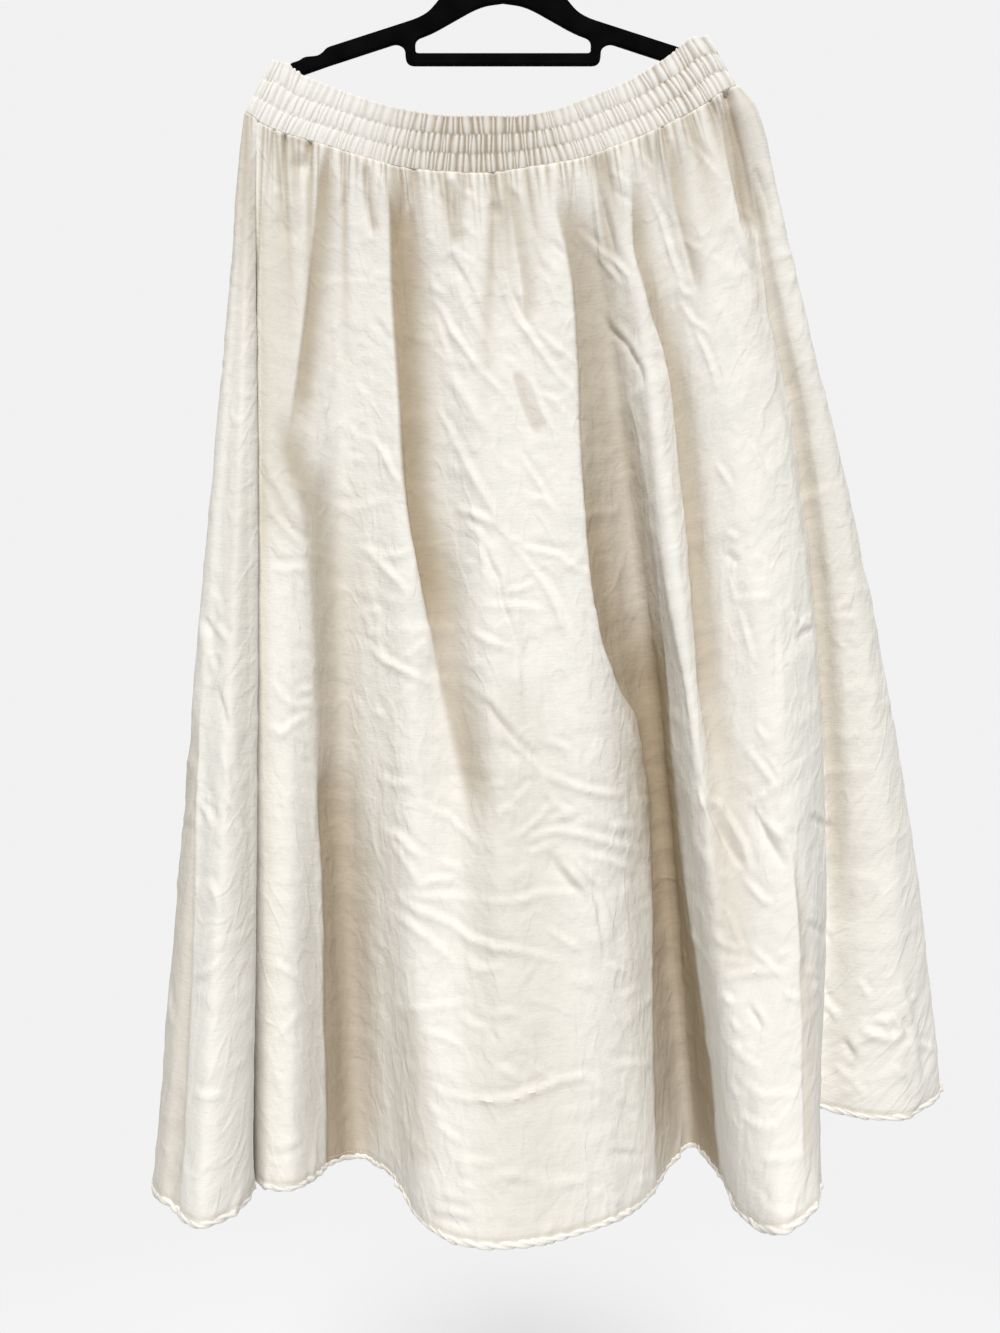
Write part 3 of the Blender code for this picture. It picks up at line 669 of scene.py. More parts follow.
# The skirt's two panels: cotton and linen cut wider at the hem, gathered into the band, and hung in
# big soft folds. The front one runs from the deep valley at the left to the right side; the back one
# goes on from there round the back and over the far left folds.
Fold = namedtuple("Fold", "name along_band mid_x mid_y hem_x hem_y hem_z")
FRONT_FOLDS = [
    Fold("left_side", 0.000, -228, -50, -249, -100, -1072),
    Fold("far_left_crest", 0.004, -220, -62, -238, -122, -1070),
    Fold("far_left_crease", 0.008, -213, -66, -229, -128, -1072),
    Fold("left_crest", 0.014, -196, -78, -202, -155, -1074),
    Fold("left_crest_edge", 0.022, -183, -58, -178, -125, -1071),
    Fold("left_deep_valley", 0.032, -193.5, -28, -188, -52, -1080),
    Fold("second_crest_edge", 0.050, -190, -43, -181, -68, -1080),
    Fold("second_crest", 0.090, -162, -50, -155, -80, -1080),
    Fold("second_crest_flank", 0.160, -144, -37, -132, -22, -1085),
    Fold("first_valley", 0.220, -125, -12, -114, 15, -1094),
    Fold("middle_flank", 0.270, -101, -28, -86, -15, -1096),
    Fold("middle_shoulder", 0.310, -70, -52, -60, -85, -1101),
    Fold("upper_left_valley", 0.335, -39, -40, -32, -114, -1103),
    Fold("middle_crest", 0.430, -8, -62, 2, -121, -1103),
    Fold("upper_middle_valley", 0.530, 27, -55, 38, -113, -1101),
    Fold("middle_right", 0.580, 54, -56, 70, -96, -1099),
    Fold("middle_right_shoulder", 0.625, 76, -44, 102, -65, -1097),
    Fold("second_valley_flank", 0.650, 94, -18, 131, -12, -1092),
    Fold("second_valley", 0.670, 112, 0, 151, 20, -1086),
    Fold("third_crest_flank", 0.690, 124, -26, 163, -36, -1085),
    Fold("third_crest", 0.730, 136, -56, 170, -115, -1087),
    Fold("upper_right_valley", 0.785, 153, -40, 188, -148, -1080),
    Fold("third_crest_edge", 0.860, 194, -60, 214, -132, -1070),
    Fold("third_crest_back", 0.920, 233, -36, 233, -52, -1058),
    Fold("third_valley", 0.960, 245, -8, 247, 6, -1050),
    Fold("right_crest", 0.975, 259, -16, 276, -14, -1050),
    Fold("right_plain", 0.985, 275, -16, 305, -20, -1050),
    Fold("right_crease", 0.992, 284, -9, 326, -9, -1048),
    Fold("right_side", 1.000, 291, 6, 352, 18, -1041),
]
BACK_FOLDS = [
    Fold("back_right_turn", 0.995, 284, 22, 343, 42, -1040),
    Fold("back_crest_1", 0.960, 262, 34, 312, 58, -1046),
    Fold("back_valley_1", 0.900, 238, 24, 282, 30, -1052),
    Fold("back_crest_2", 0.820, 205, 38, 244, 62, -1058),
    Fold("back_plain_2", 0.760, 178, 38, 208, 62, -1064),
    Fold("back_valley_2", 0.700, 148, 26, 176, 34, -1072),
    Fold("back_crest_3", 0.610, 108, 40, 132, 64, -1080),
    Fold("back_plain_3", 0.540, 70, 40, 88, 64, -1087),
    Fold("back_valley_3", 0.470, 34, 27, 52, 36, -1092),
    Fold("back_crest_4", 0.390, -10, 40, 8, 64, -1094),
    Fold("back_plain_4", 0.330, -46, 40, -36, 64, -1094),
    Fold("back_valley_4", 0.270, -80, 28, -70, 38, -1092),
    Fold("back_crest_5", 0.190, -120, 38, -112, 62, -1088),
    Fold("back_plain_5", 0.140, -148, 37, -148, 60, -1084),
    Fold("back_valley_5", 0.090, -174, 22, -184, 24, -1080),
    Fold("back_crest_6", 0.045, -204, 24, -222, 34, -1074),
    Fold("back_left_turn", 0.012, -224, 4, -250, -20, -1072),
    Fold("back_left_side", 0.004, -230, -26, -255, -62, -1071),
]
CLOTH_WALL = 1.2 * MM
SEWN_IN = 1.2 * MM
TOP_LEAD_IN = 0.15
CLOTH_LENGTH = 0.805
FOLD_COUNT = len(FRONT_FOLDS) + len(BACK_FOLDS)
RIGHT_SEAM = len(FRONT_FOLDS) - 1
FRONT_NAMES = [fold.name for fold in FRONT_FOLDS]
LEFT_SEAM = FRONT_NAMES.index("left_deep_valley")
DEEPEST_VALLEY = FRONT_NAMES.index("second_valley")
FOLD_ALONGS = [fold.along_band for fold in FRONT_FOLDS + BACK_FOLDS + FRONT_FOLDS[:1]]


def waist_points(along, side):
    """Where the panel's cloth leaves the band: under its foot, half way through its wall."""
    points = band_points(along, 1.0, side, 0.5 * (BAND_WALL - CLOTH_WALL))
    points[..., 2] += SEWN_IN
    return points


def fold_line(fold, side):
    """The three points that a fold's line runs through: band, half way down, hem."""
    waist = waist_points(np.array(fold.along_band), side)
    hem = np.array([fold.hem_x, fold.hem_y, fold.hem_z]) * MM
    return waist, np.array([fold.mid_x * MM, fold.mid_y * MM, 0.5 * (waist[2] + hem[2])]), hem


FOLD_LINES = np.array(
    [fold_line(fold, -1) for fold in FRONT_FOLDS] + [fold_line(fold, 1) for fold in BACK_FOLDS]
)


def between_lines(around, down):
    """Points of the smooth curve round the skirt, rows by columns: around counts fold lines."""
    share_down = down[:, None, None]
    at_height = (
        FOLD_LINES[None, :, 0] * (1 - share_down) * (1 - 2 * share_down)
        + FOLD_LINES[None, :, 1] * 4 * share_down * (1 - share_down)
        + FOLD_LINES[None, :, 2] * share_down * (2 * share_down - 1)
    )
    first = np.floor(around).astype(int)
    share = around - first
    four = [at_height[:, (first + step) % FOLD_COUNT] for step in (-1, 0, 1, 2)]
    knots = [np.zeros(four[0].shape[:2])]
    for one, other in zip(four, four[1:]):
        step = np.hypot(other[..., 0] - one[..., 0], other[..., 1] - one[..., 1])
        knots.append(knots[-1] + np.maximum(step, 1e-6) ** 0.5)
    t0, t1, t2, t3 = (knot[..., None] for knot in knots)
    t = t1 + (t2 - t1) * share[None, :, None]

    def blended(one, start, other, end):
        """One point turning into the other between two knots of the curve."""
        return (one * (end - t) + other * (t - start)) / (end - start)

    a1 = blended(four[0], t0, four[1], t1)
    a2 = blended(four[1], t1, four[2], t2)
    a3 = blended(four[2], t2, four[3], t3)
    return blended(blended(a1, t0, a2, t2), t1, blended(a2, t1, a3, t3), t2)


def alongs_at(around):
    """Where along the band the cloth at these places round the skirt is sewn."""
    return np.interp(around % FOLD_COUNT, np.arange(len(FOLD_ALONGS)), FOLD_ALONGS)


def draped_points(around, down):
    """The skirt's outer face with its big folds, led exactly to the band's foot at its top."""
    points = between_lines(around, down)
    along = alongs_at(around)
    at_front = around % FOLD_COUNT <= RIGHT_SEAM
    foot = np.where(at_front[:, None], waist_points(along, -1), waist_points(along, 1))
    share = np.clip(1.0 - down / TOP_LEAD_IN, 0.0, 1.0) ** 2
    drift = foot - between_lines(around, np.zeros(1))[0]
    return points + share[:, None, None] * drift[None]


def columns_between(start, end, count, weights):
    """Places round the skirt, spaced by the cloth between them, closer where weights ask for it."""
    fine = np.linspace(start, end, 40 * (end - start) + 1)
    lengths = np.zeros(len(fine) - 1)
    for down in (0.1, 0.5, 1.0):
        points = draped_points(fine, np.array([down]))[0]
        steps = np.linalg.norm(np.diff(points, axis=0), axis=1)
        lengths += steps / steps.sum()
    lengths *= weights(0.5 * (fine[1:] + fine[:-1]))
    run = np.concatenate([[0.0], np.cumsum(lengths)])
    return np.interp(np.linspace(0.0, run[-1], count + 1), run, fine)


# The hollows between the folds and the creases of the washed cloth are pressed into both panels, and the
# hollows also get warm shade painted into the cloth's colour. Both tables hold millimetres as seen from
# the front, in the hanger's plane. A hollow has its width to the left and to the right, its height (below 0
# a trough), its share of painted warm shade, and its places from above down.
Hollow = namedtuple("Hollow", "left_width right_width height shade places")
HOLLOWS = [
    Hollow(2.5, 15, -3, 0.72, [(-140, -290), (-143, -315), (-146, -345), (-152, -402), (-157, -442),
        (-163, -489), (-169, -525)]),
    Hollow(9, 20, -3, 0.62, [(-173, -489), (-169, -517), (-163, -544), (-152, -568), (-145, -615),
        (-141, -679), (-139, -742), (-137, -805), (-136, -868)]),
    Hollow(4, 31, -3.5, 0.72, [(-141, -758), (-139, -837), (-137, -908), (-136, -995), (-134, -1094),
        (-133, -1200)]),
    Hollow(4, 26, -0.5, 0.5, [(-141, -789), (-139, -852), (-137, -908), (-136, -995), (-134, -1094),
        (-133, -1200)]),
    Hollow(2.8, 20, -4, 0.88, [(-90, -304), (-87, -332), (-86, -359), (-85, -410), (-77, -531),
        (-72, -571), (-59, -637), (-47, -700)]),
    Hollow(4.5, 18, -3, 0.64, [(-80, -490), (-77, -531), (-72, -571), (-59, -637), (-47, -700),
        (-35, -762), (-20, -845)]),
    Hollow(2.8, 24, -0.5, 0.62, [(-88, -323), (-86, -359), (-85, -410), (-81, -465), (-77, -531),
        (-72, -571)]),
    Hollow(4.2, 33, -4.5, 0.72, [(42, -309), (47, -344), (51, -358), (58, -393), (60, -410), (64, -461),
        (66, -523), (70, -574), (75, -630), (81, -663), (89, -694), (100, -726), (111, -758)]),
    Hollow(2.8, 20, -3.5, 0.76, [(66, -523), (70, -574), (75, -630), (81, -663), (88, -690), (99, -718),
        (110, -739), (116, -775), (120, -805), (122, -867), (122, -952), (123, -1008), (124, -1082),
        (126, -1168)]),
    Hollow(20, 3.2, -0.8, 0.42, [(92, -473), (105, -529), (114, -590), (120, -640), (122, -680),
        (124, -731), (125, -803), (126, -867)]),
    Hollow(24, 2.4, -1, 0.97, [(120, -647), (124, -680), (128, -731), (133, -803), (141, -867),
        (149, -924), (157, -980), (164, -1036), (168, -1082), (178, -1176)]),
    Hollow(11, 11, 4, 0, [(108, -363), (121, -442), (126, -505), (130, -568), (135, -631), (143, -710)]),
    Hollow(3.4, 14, -3.6, 0.72, [(101, -295), (104, -330), (107, -372), (115, -410), (127, -448),
        (136, -486), (142, -540), (148, -590), (152, -637), (156, -680), (160, -726), (173, -797)]),
    Hollow(2.4, 18, -2.5, 0.55, [(171, -255), (175, -276), (179, -299), (186, -331), (192, -363)]),
    Hollow(2, 10, -2.5, 0.36, [(196, -288), (198, -316), (203, -351), (207, -386), (216, -438),
        (229, -489), (234, -529), (242, -590), (247, -640), (251, -680), (254, -731), (258, -792),
        (259, -852), (260, -931)]),
    Hollow(2, 32, -0.4, 0.14, [(211, -410), (234, -529), (242, -590), (247, -640), (251, -680),
        (254, -731), (258, -792), (259, -852), (260, -963)]),
    Hollow(2, 9, -1, 0.3, [(232, -852), (235, -908), (238, -971), (239, -1042), (241, -1121)]),
    Hollow(2.4, 8, -1.8, 0.45, [(4, -315), (9, -343), (13, -371), (18, -402), (19, -434)]),
    Hollow(2.4, 7, -1.6, 0.35, [(9, -465), (17, -493), (29, -521)]),
    Hollow(2.4, 8, -1.6, 0.45, [(-44, -315), (-42, -339), (-36, -371)]),
    Hollow(2.4, 7, -1.5, 0.45, [(-109, -303), (-105, -339), (-100, -363)]),
    Hollow(2.4, 9, -1.8, 0.45, [(73, -292), (77, -323), (81, -355), (86, -386)]),
    Hollow(2.4, 10, -1.8, 0.45, [(134, -284), (137, -331), (148, -378), (156, -410)]),
    Hollow(22, 1.8, -2, 0.36, [(-240, -718), (-244, -794), (-246, -868), (-248, -944), (-255, -1080),
        (-261, -1192)]),
    Hollow(1.5, 7, -0.3, 0.2, [(-190, -307), (-194, -410), (-193, -568), (-190, -726), (-190, -884),
        (-191, -1105)]),
    Hollow(1.5, 32, -0.3, 0.26, [(-190, -315), (-190, -410), (-190, -631)]),
    Hollow(14, 1.6, -0.4, 0.16, [(-202, -505), (-201, -726), (-200, -963)]),
    Hollow(10, 20, -1, 0.34, [(166, -726), (173, -852), (184, -963)]),
    Hollow(12, 14, -1.5, 0.25, [(-77, -963), (-72, -1042), (-66, -1113)]),
    Hollow(3.5, 6, -1.2, 0.4, [(-164, -285), (-156, -288), (-148, -293)]),
    Hollow(45, 45, -0.2, 0.17, [(2, -679), (13, -821), (17, -963), (21, -1121), (25, -1232)]),
]
# For each width of crease, rows of its height (below 0 a trough) and the places that it runs through.
Crease = namedtuple("Crease", "places width height")
CREASES_BY_WIDTH = {
    2.2: [
        (-0.8, (-129, -342), (-123, -328), (-120, -312)),
        (1, (-98, -314), (-92, -328), (-88, -346), (-86, -367)),
        (0.7, (-149, -474), (-143, -497), (-139, -519)), (0.5, (-137, -462), (-134, -481)),
        (0.6, (-117, -476), (-109, -487)), (0.6, (-110, -452), (-102, -457)),
        (-0.6, (-165, -464), (-165, -497)), (0.7, (-160, -500), (-156, -519)),
        (0.6, (-122, -508), (-115, -519)), (-0.9, (-54, -318), (-55, -330)),
        (0.8, (-36, -325), (-25, -330), (-18, -342)), (0.7, (-57, -391), (-55, -401), (-45, -407)),
        (1.1, (-57, -408), (-48, -419), (-40, -436), (-28, -452), (-16, -469), (-2, -483), (10, -501)),
        (0.7, (-53, -424), (-49, -440), (-43, -456)), (0.8, (-52, -497), (-43, -511), (-38, -520)),
        (0.7, (3, -318), (12, -329)), (-0.8, (37, -364), (51, -378)),
        (0.6, (27, -384), (40, -407), (50, -431), (57, -448)),
        (0.8, (27, -435), (43, -449), (57, -460), (61, -464)),
        (0.9, (20, -470), (27, -487), (33, -504), (39, -515)), (0.8, (26, -484), (39, -488), (51, -503)),
        (0.5, (41, -466), (54, -481), (61, -494)), (0.5, (-60, -360), (-53, -367)),
        (0.7, (-35, -347), (-28, -356), (-19, -364)), (0.5, (-42, -370), (-25, -381), (-18, -393)),
        (0.6, (2, -453), (9, -464)), (0.9, (51, -309), (52, -324), (51, -340)),
        (-0.8, (54, -311), (54, -333)), (0.7, (81, -309), (90, -315), (99, -323)),
        (-0.8, (86, -323), (101, -335)), (1, (56, -352), (69, -365), (90, -382), (99, -392), (101, -406)),
        (0.8, (60, -358), (71, -371), (95, -400)), (0.8, (104, -293), (116, -308), (119, -329)),
        (0.8, (142, -362), (151, -370), (158, -371)), (0.5, (163, -377), (173, -382)),
        (0.8, (139, -397), (143, -405), (151, -406)), (-0.7, (137, -405), (134, -417)),
        (0.7, (140, -412), (149, -427), (163, -436)),
        (0.8, (151, -433), (160, -451), (166, -468), (167, -479)), (0.7, (186, -335), (196, -347)),
        (0.8, (190, -347), (198, -365)), (1, (-190, -558), (-182, -579), (-167, -596), (-154, -612)),
        (0.8, (-171, -549), (-161, -558), (-154, -564)),
        (-0.9, (-177, -573), (-169, -589), (-157, -596), (-149, -599)),
        (0.7, (-184, -594), (-176, -609), (-166, -612)), (0.7, (-184, -622), (-171, -624), (-154, -621)),
        (0.6, (-167, -627), (-167, -656)), (0.6, (-164, -629), (-156, -642)),
        (0.7, (-164, -721), (-149, -717)), (0.8, (-162, -730), (-149, -729)),
        (1, (-184, -744), (-176, -754), (-166, -745), (-152, -737)), (0.6, (-161, -765), (-154, -772)),
        (0.9, (-108, -518), (-96, -529), (-88, -546), (-78, -559), (-74, -568)),
        (0.5, (-123, -536), (-109, -536)), (0.8, (-109, -604), (-96, -612), (-83, -612), (-68, -607)),
        (0.6, (-113, -656), (-96, -656)), (0.5, (-113, -656), (-103, -669)),
        (0.6, (-109, -672), (-93, -674)), (1.3, (-104, -684), (-93, -696), (-76, -704), (-58, -714)),
        (0.6, (-83, -697), (-69, -687), (-56, -676)), (0.5, (-86, -729), (-69, -714)),
        (0.6, (-104, -734), (-93, -739)), (0.9, (-32, -586), (-21, -593), (-17, -599)),
        (-1.6, (-17, -601), (-12, -616), (-4, -629), (-1, -649), (6, -667), (13, -689)),
        (0.8, (-20, -604), (-13, -621)),
        (1, (6, -596), (16, -606), (31, -609), (44, -612), (54, -621), (71, -627)),
        (0.9, (1, -641), (13, -639), (26, -634)), (0.9, (-17, -652), (1, -652), (21, -654), (34, -656)),
        (0.5, (-31, -619), (-22, -619)), (0.5, (-19, -627), (-11, -627)),
        (1.1, (-26, -672), (-17, -677), (-6, -682), (6, -687)),
        (0.9, (11, -529), (19, -543), (28, -556), (34, -566)), (0.8, (-9, -523), (-2, -541), (4, -544)),
        (0.7, (18, -563), (24, -568), (34, -568), (41, -579)), (0.8, (34, -757), (53, -766)),
        (-0.8, (64, -656), (72, -669)), (0.5, (72, -656), (79, -654)), (0.7, (167, -538), (181, -559)),
        (0.7, (192, -521), (199, -529), (207, -548)), (0.8, (176, -594), (186, -599)),
        (0.5, (199, -612), (206, -619)), (0.6, (179, -647), (196, -646), (212, -644)),
        (0.7, (186, -654), (192, -676), (197, -696)), (0.6, (179, -626), (182, -646)),
        (0.8, (227, -656), (234, -666)), (-1, (232, -679), (240, -672), (249, -669)),
        (0.6, (259, -662), (269, -661), (280, -662)), (0.8, (262, -656), (275, -647)),
        (0.6, (264, -681), (272, -687)), (0.7, (131, -727), (141, -741), (146, -752)),
        (0.6, (199, -746), (209, -759)), (0.6, (216, -729), (219, -762)),
        (-0.6, (216, -642), (216, -712), (219, -772)), (0.8, (-226, -667), (-218, -679)),
        (-0.8, (-237, -659), (-228, -677)), (0.7, (-231, -689), (-229, -705)),
        (1.1, (-243, -802), (-234, -814), (-230, -828)), (0.8, (-241, -798), (-230, -808)),
        (-1.2, (-222, -806), (-214, -816), (-208, -828)), (0.6, (-216, -808), (-202, -834)),
        (0.5, (-208, -796), (-198, -776), (-192, -764)), (0.9, (-243, -945), (-230, -937), (-220, -929)),
        (0.6, (-198, -925), (-192, -933)), (0.7, (-208, -937), (-198, -923)),
        (0.5, (-200, -838), (-202, -869), (-204, -899)), (0.8, (-242, -945), (-232, -940), (-224, -934)),
        (1, (-181, -933), (-171, -940), (-160, -948)), (1, (-245, -1036), (-235, -1040), (-219, -1038)),
        (0.7, (-211, -1016), (-202, -1009), (-197, -1002)), (0.7, (-204, -980), (-194, -971)),
        (0.6, (-182, -999), (-171, -984), (-160, -971)),
        (-0.8, (-186, -1084), (-178, -1086), (-164, -1082), (-151, -1073), (-137, -1067)),
        (0.5, (-251, -1099), (-246, -1103)), (0.6, (-179, -1020), (-175, -1029)),
        (0.6, (-268, -986), (-260, -974)), (0.8, (-211, -1129), (-202, -1106)),
        (1.1, (7, -758), (18, -770), (31, -785)),
        (1.2, (31, -785), (46, -791), (66, -798), (89, -801), (99, -798)),
        (0.8, (31, -786), (34, -801), (39, -806)), (0.7, (9, -807), (24, -792)),
        (0.7, (-97, -785), (-88, -792), (-79, -793), (-70, -789)),
        (0.7, (-71, -803), (-55, -814), (-44, -818), (-22, -839)),
        (0.5, (-52, -801), (-49, -814), (-46, -830)),
        (0.7, (-96, -833), (-82, -845), (-73, -860), (-65, -875)),
        (0.8, (-52, -853), (-44, -857), (-32, -859)), (0.9, (-70, -875), (-55, -869), (-37, -868)),
        (0.7, (-85, -880), (-52, -882), (-19, -883)),
        (0.9, (-19, -883), (-3, -886), (15, -885), (31, -879), (54, -879), (63, -880)),
        (0.9, (-29, -928), (-23, -937), (-13, -939), (3, -937)), (0.6, (-23, -938), (-13, -944)),
        (0.8, (-2, -823), (-3, -815), (6, -811), (10, -818)),
        (0.8, (0, -838), (18, -830), (31, -818), (39, -807)),
        (1.2, (18, -839), (31, -833), (45, -830), (63, -833), (92, -841), (114, -847)),
        (0.8, (21, -848), (36, -841), (48, -838)), (0.9, (37, -823), (52, -815)),
        (0.8, (39, -807), (52, -815)), (-0.9, (51, -824), (63, -817)), (0.6, (62, -804), (83, -826)),
        (0.8, (83, -826), (107, -826)), (1.1, (55, -848), (65, -863), (74, -872), (81, -872)),
        (0.9, (57, -848), (77, -851), (92, -857), (104, -862)), (0.8, (71, -888), (74, -909), (77, -931)),
        (0.5, (77, -879), (84, -903), (87, -918)), (1, (34, -907), (46, -915), (62, -925)),
        (0.8, (80, -934), (98, -942)), (0.7, (108, -889), (116, -890)), (0.7, (108, -806), (120, -807)),
        (0.6, (104, -788), (107, -803), (114, -818)), (0.5, (0, -868), (12, -863), (24, -856)),
        (0.6, (-13, -794), (3, -792)), (0.7, (-80, -970), (-64, -970), (-44, -968), (-24, -964)),
        (0.8, (-67, -987), (-50, -991), (-38, -997), (-32, -1002)),
        (0.7, (-36, -976), (-24, -983), (-11, -987)), (0.7, (-11, -976), (4, -973), (14, -977)),
        (-0.8, (-9, -987), (-5, -997)),
        (1.4, (-59, -1029), (-48, -1037), (-29, -1041), (-8, -1043), (7, -1042), (26, -1035), (44, -1027),
            (65, -1023), (77, -1032), (85, -1038)),
        (0.6, (20, -1014), (29, -1020), (39, -1026)), (0.6, (9, -990), (21, -1003)),
        (0.8, (-61, -1044), (-53, -1053), (-45, -1056)),
        (1, (-56, -1059), (-44, -1068), (-35, -1076), (-24, -1082)), (-0.8, (-41, -1074), (-24, -1082)),
        (0.8, (-42, -1088), (-29, -1091), (-17, -1092), (-5, -1091)), (0.6, (-35, -1098), (-23, -1100)),
        (0.6, (-32, -1110), (-20, -1112)), (0.7, (-11, -1107), (1, -1101), (14, -1100)),
        (-0.7, (1, -1110), (20, -1109), (29, -1109)), (-1.1, (83, -1083), (92, -1085), (109, -1086)),
        (0.8, (71, -1116), (80, -1115)), (0.9, (82, -1115), (86, -1121), (95, -1121)),
        (0.8, (104, -1107), (121, -1104)), (0.8, (78, -1011), (89, -1015), (104, -1014), (121, -1012)),
        (-0.8, (95, -1044), (103, -1055)), (0.6, (47, -1104), (56, -1109)),
        (0.6, (112, -999), (118, -993)), (0.6, (59, -1133), (63, -1136)), (0.6, (91, -964), (113, -950)),
        (0.7, (163, -805), (169, -807), (176, -808)), (0.7, (201, -766), (212, -775), (220, -789)),
        (1, (197, -807), (209, -800), (221, -789)),
        (0.9, (193, -805), (199, -811), (206, -823), (224, -828)),
        (1.1, (208, -827), (217, -831), (225, -838)),
        (0.8, (135, -812), (142, -824), (148, -837), (155, -852)), (0.6, (137, -805), (148, -807)),
        (0.8, (140, -853), (149, -854), (159, -856)), (0.7, (145, -880), (153, -891)),
        (0.7, (145, -888), (152, -905), (153, -911)), (0.5, (153, -847), (167, -847)),
        (0.5, (171, -865), (179, -866)), (0.9, (171, -888), (178, -895), (184, -913), (189, -924)),
        (1, (159, -911), (167, -914), (176, -920), (189, -925)), (0.6, (163, -909), (183, -914)),
        (0.8, (195, -921), (206, -932), (217, -940)), (0.8, (214, -935), (221, -926), (228, -923)),
        (1.1, (174, -946), (186, -943), (203, -941), (228, -941)),
        (0.7, (159, -932), (179, -933), (203, -936)), (0.8, (165, -956), (176, -962), (184, -967)),
        (0.7, (221, -958), (235, -962)), (-1.3, (242, -817), (251, -823), (259, -828)),
        (-1.3, (239, -901), (248, -907), (259, -915)), (0.7, (242, -884), (251, -898)),
        (0.7, (236, -940), (254, -943)), (1, (246, -948), (252, -963)), (0.6, (175, -962), (181, -965)),
        (0.6, (168, -970), (177, -971)), (-1.2, (193, -967), (201, -979), (205, -987)),
        (0.7, (178, -977), (187, -988)), (0.9, (178, -999), (189, -1003), (198, -999)),
        (0.7, (180, -1003), (195, -1012), (204, -1017)), (0.9, (175, -1029), (184, -1038), (192, -1038)),
        (0.8, (186, -1029), (195, -1032), (205, -1039), (222, -1038), (240, -1038)),
        (0.9, (187, -1055), (201, -1062), (210, -1067)), (0.6, (205, -1059), (216, -1065)),
        (1, (192, -1080), (201, -1086), (207, -1089), (222, -1089), (237, -1085)),
        (-0.9, (196, -1083), (207, -1088)), (0.5, (193, -1094), (207, -1098)),
        (0.9, (193, -1112), (202, -1118), (207, -1126)), (0.7, (207, -1127), (222, -1132), (240, -1129)),
        (0.6, (222, -958), (234, -964)), (-1.5, (249, -967), (261, -977)),
        (1, (282, -982), (299, -979), (311, -977)), (1.2, (302, -977), (305, -991)),
        (1, (307, -974), (317, -990)), (1.1, (317, -988), (308, -996)),
        (0.9, (261, -1014), (269, -1021), (276, -1024)), (0.9, (269, -1029), (281, -1021)),
        (0.8, (267, -1035), (279, -1035)), (0.8, (276, -1027), (285, -1038)),
        (0.8, (310, -1015), (319, -1027)), (1.1, (282, -947), (288, -961)),
        (1.2, (325, -996), (332, -999), (340, -1003)), (0.8, (323, -964), (328, -958)),
        (0.6, (296, -1026), (305, -1020), (311, -1012)),
    ],
    2.4: [
        (-1.3, (-107, -308), (-107, -336), (-103, -361)), (0.8, (-182, -325), (-174, -326)),
        (-1.7, (-39, -319), (-40, -333), (-39, -349)), (-1.3, (-14, -318), (-12, -332), (-8, -346)),
        (1.4, (-18, -352), (-11, -370), (-6, -385), (3, -408), (10, -425), (23, -442), (40, -466),
            (48, -477)),
        (-1.1, (77, -417), (83, -433), (95, -444), (109, -466), (112, -480)),
        (1, (112, -321), (124, -347), (133, -377), (140, -395)),
        (-1.2, (198, -306), (208, -332), (213, -359)), (0.9, (142, -284), (160, -302), (178, -323)),
        (-0.8, (151, -284), (166, -308), (175, -320)), (1.1, (-182, -711), (-174, -724), (-162, -734)),
        (0.9, (-115, -604), (-103, -612), (-94, -621), (-74, -644)),
        (1.1, (-37, -574), (-27, -578), (-16, -583), (-4, -589)), (-1, (9, -601), (24, -621), (33, -629)),
        (0.6, (11, -691), (14, -729)), (-1, (-226, -715), (-222, -732), (-216, -752)),
        (0.9, (-222, -762), (-218, -784), (-216, -800)), (0.9, (-234, -867), (-226, -881), (-222, -899)),
        (1.3, (-85, -879), (-74, -889), (-56, -897), (-40, -904), (-25, -916), (-6, -922), (16, -925),
            (39, -931), (48, -936)),
        (1.3, (45, -853), (54, -863), (66, -877), (71, -888), (72, -903)),
        (0.7, (98, -901), (107, -918), (120, -939)),
        (1.1, (144, -782), (152, -798), (160, -812), (167, -828), (174, -845), (184, -858), (190, -861)),
        (1, (160, -789), (164, -804), (172, -812), (182, -827), (190, -839), (195, -861), (197, -866)),
        (1.1, (189, -865), (195, -873), (205, -884), (214, -888)), (1.3, (246, -949), (252, -964)),
    ],
    2.8: [
        (-1.1, (-74, -318), (-74, -330), (-79, -342)), (-0.9, (2, -398), (15, -421), (20, -432)),
        (1.1, (-42, -369), (-33, -384), (-21, -404), (-8, -435), (-4, -449)),
        (-1, (-40, -376), (-32, -391), (-25, -401)), (1, (23, -356), (31, -378), (43, -390)),
        (-1.5, (72, -303), (75, -323), (81, -344), (89, -374)),
        (-1.1, (181, -355), (187, -374), (202, -392)),
        (1.1, (-189, -533), (-184, -546), (-169, -573), (-152, -588)),
        (1.1, (-46, -513), (-34, -529), (-26, -546), (-14, -566), (-2, -588), (6, -603), (21, -619),
            (28, -629), (41, -651), (53, -682)),
        (0.8, (28, -696), (29, -729), (33, -754)),
        (-1.8, (-16, -726), (-2, -744), (11, -759), (23, -772)),
        (0.7, (33, -629), (43, -654), (49, -674)), (0.8, (92, -737), (104, -757), (111, -772)),
        (-1, (174, -609), (186, -619)),
        (1.1, (-97, -821), (-93, -830), (-82, -835), (-74, -844), (-61, -854)),
        (1.1, (-90, -892), (-74, -903), (-59, -915), (-47, -925), (-40, -934)),
        (1, (-5, -1017), (4, -1020), (15, -1029)), (-1.3, (-59, -1135), (-44, -1136), (-24, -1142)),
        (-1.1, (-50, -1123), (-23, -1129)), (1, (191, -763), (201, -775), (212, -790), (217, -794)),
        (1, (224, -839), (228, -853), (229, -873), (232, -901), (236, -941)),
        (1.4, (248, -965), (258, -973), (267, -977)),
        (1.5, (281, -985), (294, -991), (305, -994), (311, -996)),
